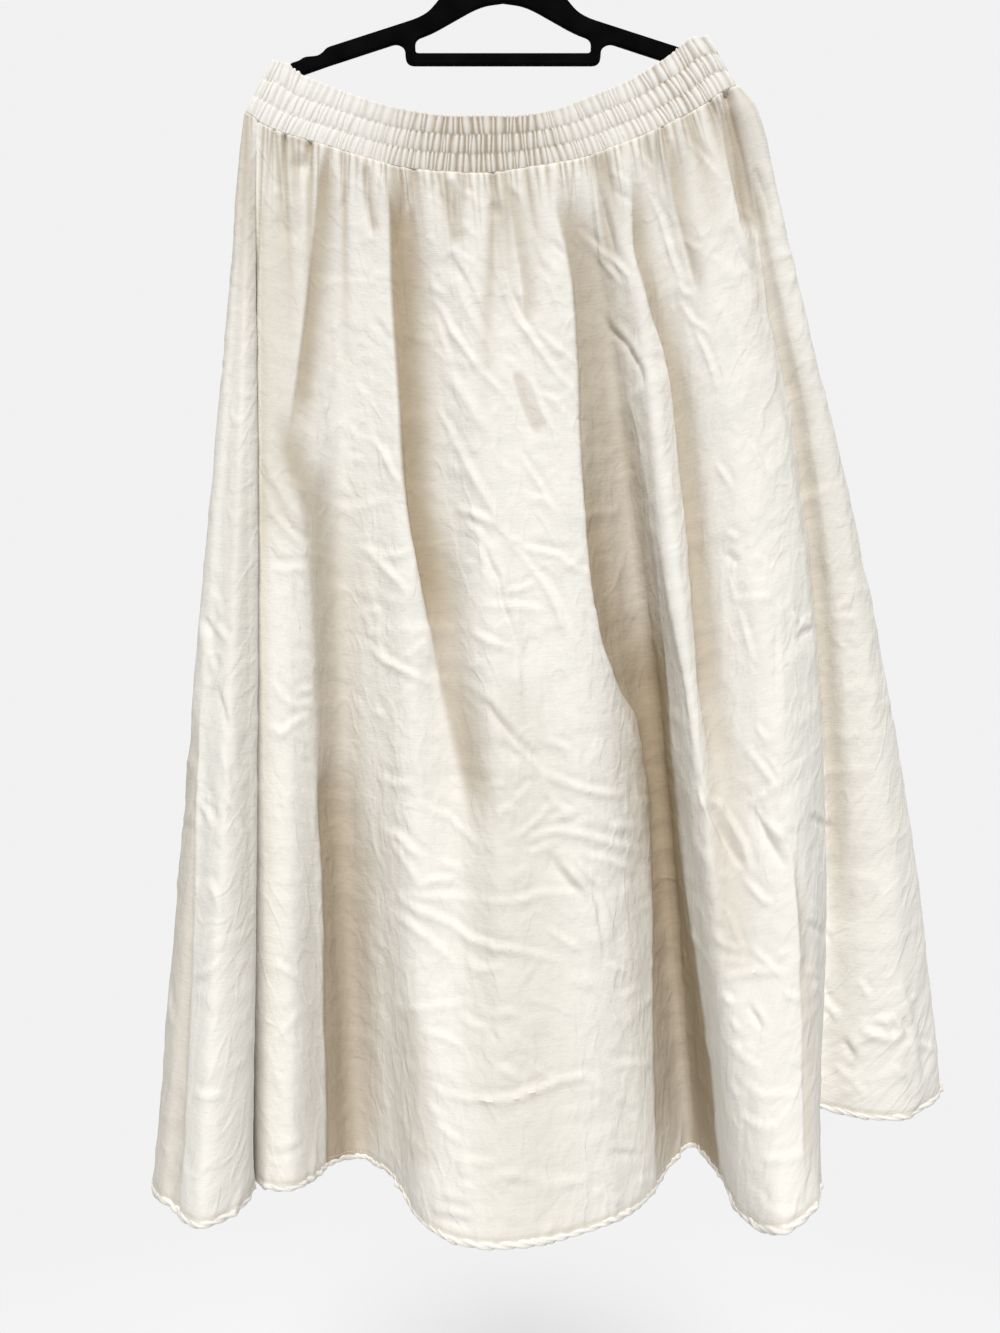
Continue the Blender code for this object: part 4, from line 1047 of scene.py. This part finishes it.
        (-1.5, (267, -994), (275, -1005), (276, -1011)), (-1.3, (317, -977), (322, -997)),
    ],
    3.8: [
        (-0.8, (-133, -433), (-129, -455)), (-1.1, (-9, -333), (-2, -345)),
        (1, (-40, -390), (-28, -419), (-16, -440), (-5, -459), (3, -477)),
        (0.9, (-48, -459), (-35, -481), (-21, -503), (-8, -519)),
        (0.6, (170, -414), (184, -447), (196, -473)), (-1.6, (0, -758), (12, -774)),
        (-2, (36, -847), (43, -860), (55, -875), (63, -880)),
        (-1.7, (163, -809), (172, -828), (182, -850), (190, -858)),
        (-1.8, (197, -808), (203, -823), (208, -835), (216, -847), (223, -858)),
        (1.4, (313, -947), (319, -970), (323, -997), (328, -1023), (326, -1038)),
    ],
    4.8: [
        (-2.2, (-168, -302), (-161, -304), (-151, -302)),
        (1.2, (177, -380), (189, -405), (199, -429), (207, -439)),
    ],
    6.6: [
        (1.4, (109, -523), (116, -571), (126, -621), (134, -662), (146, -729), (152, -772)),
    ],
    7.6: [
        (-1.2, (-180, -346), (-161, -360)),
    ],
}
CREASES = [Crease(row[1:], width, row[0]) for width, rows in CREASES_BY_WIDTH.items() for row in rows]


def seen_from_front(points):
    """Where points show in the hanger's plane when seen from the camera's place."""
    eye = np.array(CAMERA_PLACE)
    scale = CAMERA_DISTANCE / (points[..., 1] - eye[1])
    return eye[[0, 2]] + (points[..., [0, 2]] - eye[[0, 2]]) * scale[..., None]


def along_line(spots, bends):
    """For each spot its distance from a line, below 0 at one side, and its share of the line's length."""
    steps = np.linalg.norm(np.diff(bends, axis=0), axis=1)
    run = np.concatenate([[0.0], np.cumsum(steps)])
    best = np.full(len(spots), 1e9)
    signed = np.zeros(len(spots))
    share = np.zeros(len(spots))
    for start, end, before, step in zip(bends, bends[1:], run, steps):
        ahead = (end - start) / step
        offset = spots - start
        along = np.clip(offset @ ahead, 0.0, step)
        distance = np.linalg.norm(offset - along[:, None] * ahead, axis=1)
        closer = distance < best
        best[closer] = distance[closer]
        side = np.sign(offset[:, 0] * -ahead[1] + offset[:, 1] * ahead[0])
        signed[closer] = (distance * side)[closer]
        share[closer] = ((before + along) / run[-1])[closer]
    return signed, share


def near_line(seen, bends, reach):
    """Which spots lie within reach of a box round the line."""
    low, high = bends.min(axis=0) - reach, bends.max(axis=0) + reach
    return np.all((seen > low) & (seen < high), axis=-1)


CREASE_WIDER_ACROSS = 0.45
CREASE_FLATNESS = 1.5
HOLLOW_STARTS_OVER = 0.12
HOLLOW_ENDS_OVER = 0.2
HOLLOW_OPENS_OVER = 0.22
HOLLOW_NARROW = 0.35
HOLLOW_FLATNESS = 2.6


def crease_relief(seen, crease):
    """Where a crease lies and its height there: a crisp ridge or trough with a dip at one flank."""
    bends = np.array(crease.places, float) * MM
    run_across, run_down = np.abs(bends[-1] - bends[0])
    width = crease.width * MM * (1.0 + CREASE_WIDER_ACROSS * run_across / (run_across + run_down))
    near = near_line(seen, bends, 4.0 * width)
    if not near.any():
        return near, None
    signed, share = along_line(seen[near], bends)
    fade = np.clip(np.sin(math.pi * np.clip(share, 0.0, 1.0)), 0.0, 1.0) ** 0.55
    across = signed / width
    beside = np.exp(-(((across - 1.8) / 1.2) ** 2))
    shape = np.exp(-np.abs(across) ** CREASE_FLATNESS) - 0.5 * beside
    return near, crease.height * MM * fade * shape


def hollow_relief(seen, hollow):
    """Where a trough between folds lies, its depth there, and its share of painted shade."""
    bends = np.array(hollow.places, float) * MM
    bends = smooth_rows(bends, np.linspace(0, len(bends) - 1, 6 * len(bends)))
    near = near_line(seen, bends, 3.0 * max(hollow.left_width, hollow.right_width) * MM)
    if not near.any():
        return near, None
    signed, share = along_line(seen[near], bends)
    fade = np.clip(np.minimum(share / HOLLOW_STARTS_OVER, (1.0 - share) / HOLLOW_ENDS_OVER), 0.0, 1.0)
    fade = fade * fade * (3.0 - 2.0 * fade)
    opened = HOLLOW_NARROW + (1.0 - HOLLOW_NARROW) * np.clip(share / HOLLOW_OPENS_OVER, 0.0, 1.0)
    across = signed / (np.where(signed < 0, hollow.left_width, hollow.right_width * opened) * MM)
    return near, fade * np.exp(-(np.abs(across) ** HOLLOW_FLATNESS))


# PANEL_SHADE is the warm colour of the shade painted into the panels' hollows, under the gathers and above
# the hem roll.
PANEL_LIT = (0.885, 0.862, 0.808, 1.0)
PANEL_SHADE = (0.41, 0.33, 0.225, 1.0)
panel_cloth = cloth_material("washed_cloth", PANEL_LIT, PANEL_SHADE, 0.75, 0.6)
PANEL_COLUMNS = 270
PANEL_ROWS = 324
ROWS_CLOSER_AT_TOP = 1.06
INNER_STEP = 3
INNER_DEPTH = 1.9 * MM
FULLNESS = 3.0 * MM
FULLNESS_AT_RIGHT = 10.0 * MM
FULLNESS_FALL = 0.045
FULLNESS_SPREAD = 2.5
LIP_HEIGHT = 2.4 * MM
LIP_FALL = 30 * MM
CALM_AT_SEAMS = 5 * MM
GATHER_WIDTH = 6.0 * MM
GATHER_WIDTH_SPREAD = (0.45, 1.7)
GATHER_HEIGHTS = (0.7, 2.1)
GATHER_LENGTHS = (9, 34)
GATHER_SHADE = 0.85
LONG_GATHER = 2.2
TUCKS_PER_METRE = 62 / 0.33
TUCK_WIDTHS = (1.4, 3.4)
TUCK_LENGTHS = (20, 70)
TUCK_HEIGHTS = (1.2, 3.1)
TUCK_LEAN = 0.12
TUCK_SHADE = 0.66
LONG_TUCK = 2.3
LONG_TUCK_SHARE = 0.3
CRUMPLE_HEIGHT = 1.25 * MM
CRUMPLES = ((38, 1.0), (21, 0.62), (11, 0.34), (6.5, 0.2))
NOISE_KNOTS = 64
HEM_PUCKERS = 60
HEM_PUCKER_WIDTHS = (2.0, 4.5)
HEM_PUCKER_LENGTHS = (7, 22)
HEM_PUCKER_HEIGHTS = (0.4, 1.4)
HEM_PUCKER_LEAN = 0.5
HEM_STITCHED_ROW = 3
ROLL_SHADE_HEIGHT = 5.0 * MM
LOOSE_CREASES_AT_FRONT = 75
LOOSE_CREASES_AT_BACK = 150
LOOSE_CREASE_HALF_LENGTHS = (9, 34)
LOOSE_CREASE_WIDTHS = (2.2, 3.4)
LOOSE_CREASE_HEIGHTS = (-0.8, 0.6, 0.8, 1.0)
LOOSE_CREASE_BOW = 0.15
CREASE_STRENGTH = 1.75
BACK_SHIFT = (26 * MM, 18 * MM)
SHADE_AT_BACK = 0.75
DEPTH_AT_BACK = 0.6


def soft_noise(cloth, seed, cell):
    """Smooth noise of the cloth's own length and width, from -1 to 1, one hump for each cell or so."""
    generator = np.random.default_rng(seed)
    knots = generator.uniform(-1.0, 1.0, (NOISE_KNOTS, NOISE_KNOTS))
    u, v = cloth[..., 0] / cell, cloth[..., 1] / cell
    first_u, first_v = np.floor(u).astype(int), np.floor(v).astype(int)
    share_u, share_v = u - first_u, v - first_v
    share_u = share_u * share_u * (3 - 2 * share_u)
    share_v = share_v * share_v * (3 - 2 * share_v)

    def knot(step_u, step_v):
        return knots[(first_u + step_u) % NOISE_KNOTS, (first_v + step_v) % NOISE_KNOTS]

    upper = knot(0, 0) * (1 - share_u) + knot(1, 0) * share_u
    lower = knot(0, 1) * (1 - share_u) + knot(1, 1) * share_u
    return upper * (1 - share_v) + lower * share_v


def crumpled(cloth, seed):
    """Soft crumples of several sizes, with crests sharper than their hollows, bent by each other."""
    bends = [soft_noise(cloth, seed, 31 * MM), soft_noise(cloth, seed + 1, 27 * MM)]
    bent = cloth + 7 * MM * np.stack(bends, -1)
    total = np.zeros(cloth.shape[:2])
    for step, (cell, height) in enumerate(CRUMPLES):
        total += height * (0.55 - np.abs(soft_noise(bent, seed + 10 + step, cell * MM)))
    return total


def gathered_top(generator, waist_run, fallen):
    """Relief and painted shade under the band: a swollen lip, a ridge for each gather, and longer loose
    tucks.
    """
    from_seam = np.minimum(waist_run, waist_run[-1] - waist_run)
    edge_calm = np.clip(from_seam / CALM_AT_SEAMS, 0.0, 1.0)[None]
    lip = LIP_HEIGHT * (1.0 - np.exp(-fallen / (1.0 * MM))) * np.exp(-fallen / LIP_FALL)
    relief = lip[:, None] * edge_calm
    sewn = np.clip(fallen / (3 * MM), 0.0, 1.0)[:, None]
    edges = np.cumsum(generator.uniform(*GATHER_WIDTH_SPREAD, 200) * GATHER_WIDTH) - GATHER_WIDTH
    phase = np.interp(waist_run, edges, np.arange(len(edges)))
    which = np.floor(phase).astype(int)
    round_top = np.abs(np.sin(math.pi * phase)) ** 0.85
    height = generator.uniform(*GATHER_HEIGHTS, len(edges))[which] * MM
    length = generator.uniform(*GATHER_LENGTHS, len(edges))
    length *= generator.choice((1.0, 1.0, LONG_GATHER), len(edges))
    fade = np.exp(-((fallen[:, None] / (length[which] * MM)) ** 2)) * sewn * edge_calm
    relief += height * (round_top - 0.45) * fade
    # Painted shade between the gathers, and below in the troughs of sinking tucks.
    shade = GATHER_SHADE * (1.0 - round_top) ** 1.1 * fade
    for _ in range(int(TUCKS_PER_METRE * waist_run[-1])):
        centre = generator.uniform(0.0, waist_run[-1])
        width = generator.uniform(*TUCK_WIDTHS) * MM
        length = generator.uniform(*TUCK_LENGTHS) * MM
        length *= LONG_TUCK if generator.random() < LONG_TUCK_SHARE else 1.0
        height = generator.uniform(*TUCK_HEIGHTS) * MM * (1 if generator.random() < 0.5 else -1)
        lean = generator.uniform(-TUCK_LEAN, TUCK_LEAN)
        spread = width * (1.0 + fallen / (0.9 * length))
        fade = np.exp(-((fallen / length) ** 2))[:, None] * sewn * edge_calm
        offset = waist_run[None] - centre - lean * fallen[:, None]
        beside = np.exp(-(np.abs(offset / spread[:, None]) ** 1.6))
        relief += height * fade * beside
        if height < 0:
            shade = np.maximum(shade, TUCK_SHADE * fade * beside)
    return relief, shade


def hem_puckers(generator, widths, above_hem):
    """Short soft ridges that rise from the stitched hem."""
    relief = np.zeros(widths.shape)
    for _ in range(HEM_PUCKERS):
        centre = generator.uniform(0.0, widths[-1, -1])
        width = generator.uniform(*HEM_PUCKER_WIDTHS) * MM
        length = generator.uniform(*HEM_PUCKER_LENGTHS) * MM
        height = generator.uniform(*HEM_PUCKER_HEIGHTS) * MM
        lean = generator.uniform(-HEM_PUCKER_LEAN, HEM_PUCKER_LEAN)
        offset = widths - centre - lean * above_hem[:, None]
        relief += height * np.exp(-((above_hem / length) ** 2))[:, None] * np.exp(-((offset / width) ** 2))
    return relief


def press_hollows_and_creases(relief, shade, base, normal, behind):
    """Press the tables' hollows and creases into relief and painted shade; cloth behind takes them mirrored.
    """
    mirrored = seen_from_front(base * (-1, -1, 1)) + BACK_SHIFT
    seen = np.where(behind[..., None], mirrored, seen_from_front(base))
    facing = np.where(behind, -normal[..., 1], normal[..., 1])
    # Painted shade fades out where the cloth turns away, and is weaker at the back.
    shaded = np.clip((0.35 - facing) / 0.3, 0.0, 1.0) * np.where(behind, SHADE_AT_BACK, 1.0)
    pressed = np.clip((-0.1 - facing) / 0.35, 0.0, 1.0) * np.where(behind, DEPTH_AT_BACK, 1.0)
    creased = np.clip((-0.3 - facing) / 0.3, 0.0, 1.0) * CREASE_STRENGTH
    for hollow in HOLLOWS:
        near, share = hollow_relief(seen, hollow)
        if share is not None:
            relief[near] += pressed[near] * share * hollow.height * MM
            shade[near] += (1.0 - shade[near]) * shaded[near] * share * hollow.shade
    for crease in CREASES:
        near, height = crease_relief(seen, crease)
        if height is not None:
            relief[near] += creased[near] * height


def press_loose_creases(generator, relief, widths, fallen, count, calm):
    """Small creases laid at random on the cloth, most of them slanting down to the right."""
    spots = np.stack([widths, np.broadcast_to(-fallen[:, None], widths.shape)], -1)
    for _ in range(count):
        across = generator.uniform(0.0, widths[-1, -1])
        middle = np.array([across, -generator.uniform(0.05, 0.97) * CLOTH_LENGTH])
        angle = generator.normal(-0.9, 0.55) if generator.random() < 0.6 else generator.uniform(-0.3, 0.4)
        half_length = generator.uniform(*LOOSE_CREASE_HALF_LENGTHS) * MM
        heading = np.array([math.cos(angle), math.sin(angle)]) * half_length
        bow = np.array([-heading[1], heading[0]]) * generator.uniform(-LOOSE_CREASE_BOW, LOOSE_CREASE_BOW)
        line = [tuple(spot / MM) for spot in (middle - heading, middle + bow, middle + heading)]
        width = generator.uniform(*LOOSE_CREASE_WIDTHS)
        crease = Crease(line, width, generator.choice(LOOSE_CREASE_HEIGHTS))
        near, height = crease_relief(spots, crease)
        if height is not None:
            relief[near] += height * calm[near]


def panel(names, stops, seed, weights):
    """A panel as one or two walls side by side: big folds, gathers, hollows with painted shade, creases and
    crumples.

    It gives each wall with its widths at waist and hem, then the hem's line and its way out, then the
    line of the hem's stitches.
    """
    generator = np.random.default_rng(seed)
    runs = [columns_between(*pair, PANEL_COLUMNS, weights) for pair in zip(stops, stops[1:])]
    around = np.concatenate([runs[0]] + [run[1:] for run in runs[1:]])
    down = np.linspace(0.0, 1.0, PANEL_ROWS + 1) ** ROWS_CLOSER_AT_TOP
    base = draped_points(around, down)
    normal = unit(np.cross(np.gradient(base, axis=0), np.gradient(base, axis=1)))
    top_normal = unit(normal[0] * np.array([1.0, 1.0, 0.0]))
    blend = np.clip(1.0 - down / 0.02, 0.0, 1.0)[:, None, None]
    normal = unit(normal * (1.0 - blend) + top_normal * blend)
    steps = np.linalg.norm(np.diff(base, axis=1), axis=-1)
    widths = np.concatenate([np.zeros((len(down), 1)), np.cumsum(steps, axis=1)], axis=1)
    fallen = down * CLOTH_LENGTH
    above_hem = CLOTH_LENGTH - fallen
    centre_column = np.argmin(np.abs(base[-1, :, 0]))
    across_cloth = widths - widths[:, centre_column : centre_column + 1]
    cloth = np.stack([across_cloth + seed, np.broadcast_to(fallen[:, None], widths.shape)], -1)
    from_valley = np.minimum(np.abs(around - LEFT_SEAM), np.abs(around - FOLD_COUNT - LEFT_SEAM))
    in_valley = np.exp(-((from_valley / FULLNESS_SPREAD) ** 2))
    to_right = np.exp(-(((around - RIGHT_SEAM) / FULLNESS_SPREAD) ** 2))
    fullness = FULLNESS * (1.0 - in_valley) + (FULLNESS_AT_RIGHT - FULLNESS) * to_right
    rise = down / FULLNESS_FALL * np.exp(1.0 - down / FULLNESS_FALL)
    waist_run = np.concatenate([[0.0], np.cumsum(np.abs(np.diff(alongs_at(around))))]) * BAND_LENGTH
    relief, shade = gathered_top(generator, waist_run, fallen)
    relief += rise[:, None] * fullness[None]
    calm = np.clip((down - 0.015) / 0.12, 0.0, 1.0)[:, None] * (1.0 - 0.6 * in_valley)[None]
    crumples = crumpled(cloth, 100 * seed)
    relief += CRUMPLE_HEIGHT * (crumples - crumples.mean()) * calm
    relief += hem_puckers(generator, widths, above_hem)
    # A thin line of painted shadow just above the hem roll.
    painted_shadow_above_roll = np.exp(-(((above_hem - ROLL_SHADE_HEIGHT) / (2.2 * MM)) ** 2))
    shade = np.maximum(shade, 0.3 * painted_shadow_above_roll[:, None])
    behind = np.broadcast_to((around > RIGHT_SEAM + 0.5) & (around < FOLD_COUNT - 0.5), relief.shape)
    press_hollows_and_creases(relief, shade, base, normal, behind)
    loose_creases = LOOSE_CREASES_AT_BACK if behind.any() else LOOSE_CREASES_AT_FRONT
    press_loose_creases(generator, relief, widths, fallen, loose_creases, calm)
    outer = base + normal * relief[..., None]
    inner = outer - normal * INNER_DEPTH
    inner[0] = outer[0] - normal[0] * CLOTH_WALL
    maps = {"cloth": cloth, "hollow": np.clip(shade, 0.0, 1.0)[..., None]}
    parts = {}
    for index, part in enumerate(names):
        first, last = index * PANEL_COLUMNS, (index + 1) * PANEL_COLUMNS
        span = slice(first, last + 1)
        kept = {key: grid[:, span] for key, grid in maps.items()}
        made = wall_mesh(part, outer[:, span], inner[:, span], INNER_STEP, kept)
        made.data.set_sharp_from_angle(angle=math.radians(55))
        made.data.materials.append(panel_cloth)
        parts[part] = (made, widths[[0, -1], last] - widths[[0, -1], first])
    return parts, (0.5 * (outer[-1] + inner[-1]), normal[-1]), outer[-HEM_STITCHED_ROW]


def even_weights(place):
    """The same spacing all over."""
    return np.ones_like(place)


def closer_at_left(place):
    """Columns 2.4 times as close over the far left folds, which show at the front."""
    return np.where(place > FOLD_COUNT - 1.5, 2.4, 1.0)


front_parts, front_hem, front_stitch_line = panel(
    ("cloth_front_left", "cloth_front_right"), (LEFT_SEAM, DEEPEST_VALLEY, RIGHT_SEAM), 1, even_weights
)
back_parts, back_hem, back_stitch_line = panel(
    ("cloth_back",), (RIGHT_SEAM, FOLD_COUNT + LEFT_SEAM), 3, closer_at_left
)
cloth_parts = {**front_parts, **back_parts}
for piece, _ in cloth_parts.values():
    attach(piece, "root")
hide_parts("skirt_front")
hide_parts("skirt_back")

# The rolled hem: the lower edge is turned twice and stitched down by machine, and as it is cut on a
# curve the roll twists into short slanting puckers like the lay of a rope.
ROLL_HALF_HEIGHT = 2.8 * MM
ROLL_HALF_DEPTH = 2.0 * MM
ROLL_STEP = 0.9 * MM
ROLL_SIDES = 16
ROLL_RAISED = 0.9 * MM
PUCKER_LENGTH = 10.0 * MM
PUCKER_DEPTH = 0.45
PUCKER_LEAN = 0.75 * PUCKER_LENGTH
HEM_STITCH_STEP = 3.0 * MM


def hem_roll(name, line, out, seed):
    """A tube along the hem whose section swells and pinches in slanting puckers of uneven length, with shade
    painted between them.
    """
    generator = np.random.default_rng(seed)
    steps = np.concatenate([[0.0], np.cumsum(np.linalg.norm(np.diff(line, axis=0), axis=1))])
    count = int(steps[-1] / ROLL_STEP)
    along = np.linspace(0.0, steps[-1], count + 1)
    centre = np.stack([np.interp(along, steps, line[:, axis]) for axis in range(3)], -1)
    outward = unit(np.stack([np.interp(along, steps, out[:, axis]) for axis in range(3)], -1))
    heading = unit(np.gradient(centre, axis=0))
    upward = unit(np.cross(outward, heading))
    upward *= np.where(upward[:, 2:] < 0, -1.0, 1.0)
    lengths = generator.uniform(0.5, 1.75, int(steps[-1] / PUCKER_LENGTH * 1.9) + 4) * PUCKER_LENGTH
    edges = np.concatenate([[-PUCKER_LENGTH], np.cumsum(lengths)])
    bulk = generator.uniform(0.65, 1.25, len(edges) + 1)
    angles = np.linspace(0.0, 2 * math.pi, ROLL_SIDES, endpoint=False)
    rings = []
    shade = []
    for place, middle, sideways, up in zip(along, centre, outward, upward):
        phase = np.interp(place + PUCKER_LEAN * np.sin(angles), edges, np.arange(len(edges)))
        lobe = np.abs(np.sin(math.pi * phase))
        bulging = bulk[np.clip(phase.astype(int), 0, len(bulk) - 1)]
        swell = (1.0 - PUCKER_DEPTH + PUCKER_DEPTH * lobe**0.6) * bulging
        across = ROLL_HALF_DEPTH * swell * np.cos(angles)
        high = ROLL_HALF_HEIGHT * swell * np.sin(angles) + ROLL_RAISED
        rings.append(middle + across[:, None] * sideways + high[:, None] * up)
        # Painted shade in the pinches between the puckers.
        shade.append(0.6 * (1.0 - lobe**0.5))
    mesh = tube_mesh(name, np.array(rings))
    set_map(mesh, "cloth", np.stack([np.repeat(along, ROLL_SIDES), np.tile(angles * 2 * MM, len(along))], -1))
    set_map(mesh, "hollow", np.array(shade).reshape(-1, 1))
    mesh.materials.append(hem_cloth)
    fix = bmesh.new()
    fix.from_mesh(mesh)
    bmesh.ops.recalc_face_normals(fix, faces=fix.faces)
    fix.to_mesh(mesh)
    fix.free()
    return in_scene(bpy.data.objects.new(name, mesh))


# HEM_SHADE is the colour of the shade painted between the hem's puckers.
HEM_LIT = (0.93, 0.91, 0.865, 1.0)
HEM_SHADE = (0.6, 0.53, 0.44, 1.0)
hem_cloth = cloth_material("rolled_hem_cloth", HEM_LIT, HEM_SHADE, 0.4, 0.15)
hem_front = hem_roll("rolled_hem_front", *front_hem, 31)
hem_back = hem_roll("rolled_hem_back", *back_hem, 32)
hem_stitches = [
    stitched([front_stitch_line], "hem_stitches_front", HEM_STITCH_STEP, 41),
    stitched([back_stitch_line], "hem_stitches_back", HEM_STITCH_STEP, 42),
]
for piece in (hem_front, hem_back, *hem_stitches):
    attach(piece, "root")
for name, band_name, hem_name in (
    ("cloth_front_left", "waistband_front", "rolled_hem_front"),
    ("cloth_front_right", "waistband_front", "rolled_hem_front"),
    ("cloth_back", "waistband_back", "rolled_hem_back"),
):
    piece, (at_waist, at_hem) = cloth_parts[name]

# The studio: a plain pale floor that fades into an even pale surround, one wide soft light from
# above the front, and a weaker and softer one from behind that keeps the back from going grey.
FLOOR_HEIGHT = -1.9
FLOOR_HALF = 4.5
FLOOR_FADES_FROM = 0.2
FLOOR_FADES_BY = 2.0
FLOOR_TONE = (0.78, 0.78, 0.785, 1.0)
PALE = (0.885, 0.885, 0.89, 1.0)
floor_mesh = bpy.data.meshes.new("floor")
floor_corners = [
    (side * FLOOR_HALF, end * FLOOR_HALF, FLOOR_HEIGHT) for side, end in ((-1, -1), (1, -1), (1, 1), (-1, 1))
]
floor_mesh.from_pydata(floor_corners, [], [(0, 1, 2, 3)])
floor = in_scene(bpy.data.objects.new("floor", floor_mesh))
floor_paint, tree, shader = new_material("pale_floor", Roughness=0.9, Base_Color=FLOOR_TONE)
place = add_node(tree, "ShaderNodeTexCoord").outputs["Object"]
flat = add_node(tree, "ShaderNodeVectorMath", {0: place, 1: (1.0, 1.0, 0.0)}, operation="MULTIPLY")
away = add_node(tree, "ShaderNodeVectorMath", {0: flat.outputs["Vector"]}, operation="LENGTH")
fade = add_node(
    tree,
    "ShaderNodeMapRange",
    {"Value": away.outputs["Value"], "From Min": FLOOR_FADES_FROM, "From Max": FLOOR_FADES_BY},
    interpolation_type="SMOOTHSTEP",
)
clear = add_node(tree, "ShaderNodeBsdfTransparent")
edge = add_node(tree, "ShaderNodeMixShader", {0: fade.outputs["Result"]})
tree.links.new(shader.outputs["BSDF"], edge.inputs[1])
tree.links.new(clear.outputs["BSDF"], edge.inputs[2])
tree.links.new(edge.outputs["Shader"], tree.nodes["Material Output"].inputs["Surface"])
floor_mesh.materials.append(floor_paint)
floor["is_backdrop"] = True
world = bpy.data.worlds.new("pale_surround")
world.use_nodes = True
tree = world.node_tree
tree.nodes["Background"].inputs["Color"].default_value = (0.93, 0.93, 0.925, 1.0)
tree.nodes["Background"].inputs["Strength"].default_value = 0.42
plain = add_node(tree, "ShaderNodeBackground", {"Color": PALE, "Strength": 1.0})
straight = add_node(tree, "ShaderNodeLightPath").outputs["Is Camera Ray"]
chosen = add_node(tree, "ShaderNodeMixShader", {0: straight})
tree.links.new(tree.nodes["Background"].outputs[0], chosen.inputs[1])
tree.links.new(plain.outputs[0], chosen.inputs[2])
tree.links.new(chosen.outputs[0], tree.nodes["World Output"].inputs["Surface"])
bpy.context.scene.world = world
for name, energy, spread, colour, towards in (
    ("soft_key", 2.75, 14, (1.0, 0.99, 0.97), (-0.02, -1.0, 1.04)),
    ("soft_fill_behind", 1.4, 40, (1.0, 0.985, 0.96), (0.5, 1.0, 0.85)),
):
    light_data = bpy.data.lights.new(name, "SUN")
    light_data.energy = energy
    light_data.angle = math.radians(spread)
    light_data.color = colour
    light = in_scene(bpy.data.objects.new(name, light_data))
    light.rotation_euler = Vector(towards).to_track_quat("Z", "Y").to_euler()
bpy.context.scene.view_settings.view_transform = "Standard"
bpy.context.scene.view_settings.look = "None"

boxes = {"cad": cad_box, "visual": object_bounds()}
plain = {key: [[float(value) for value in corner] for corner in box] for key, box in boxes.items()}
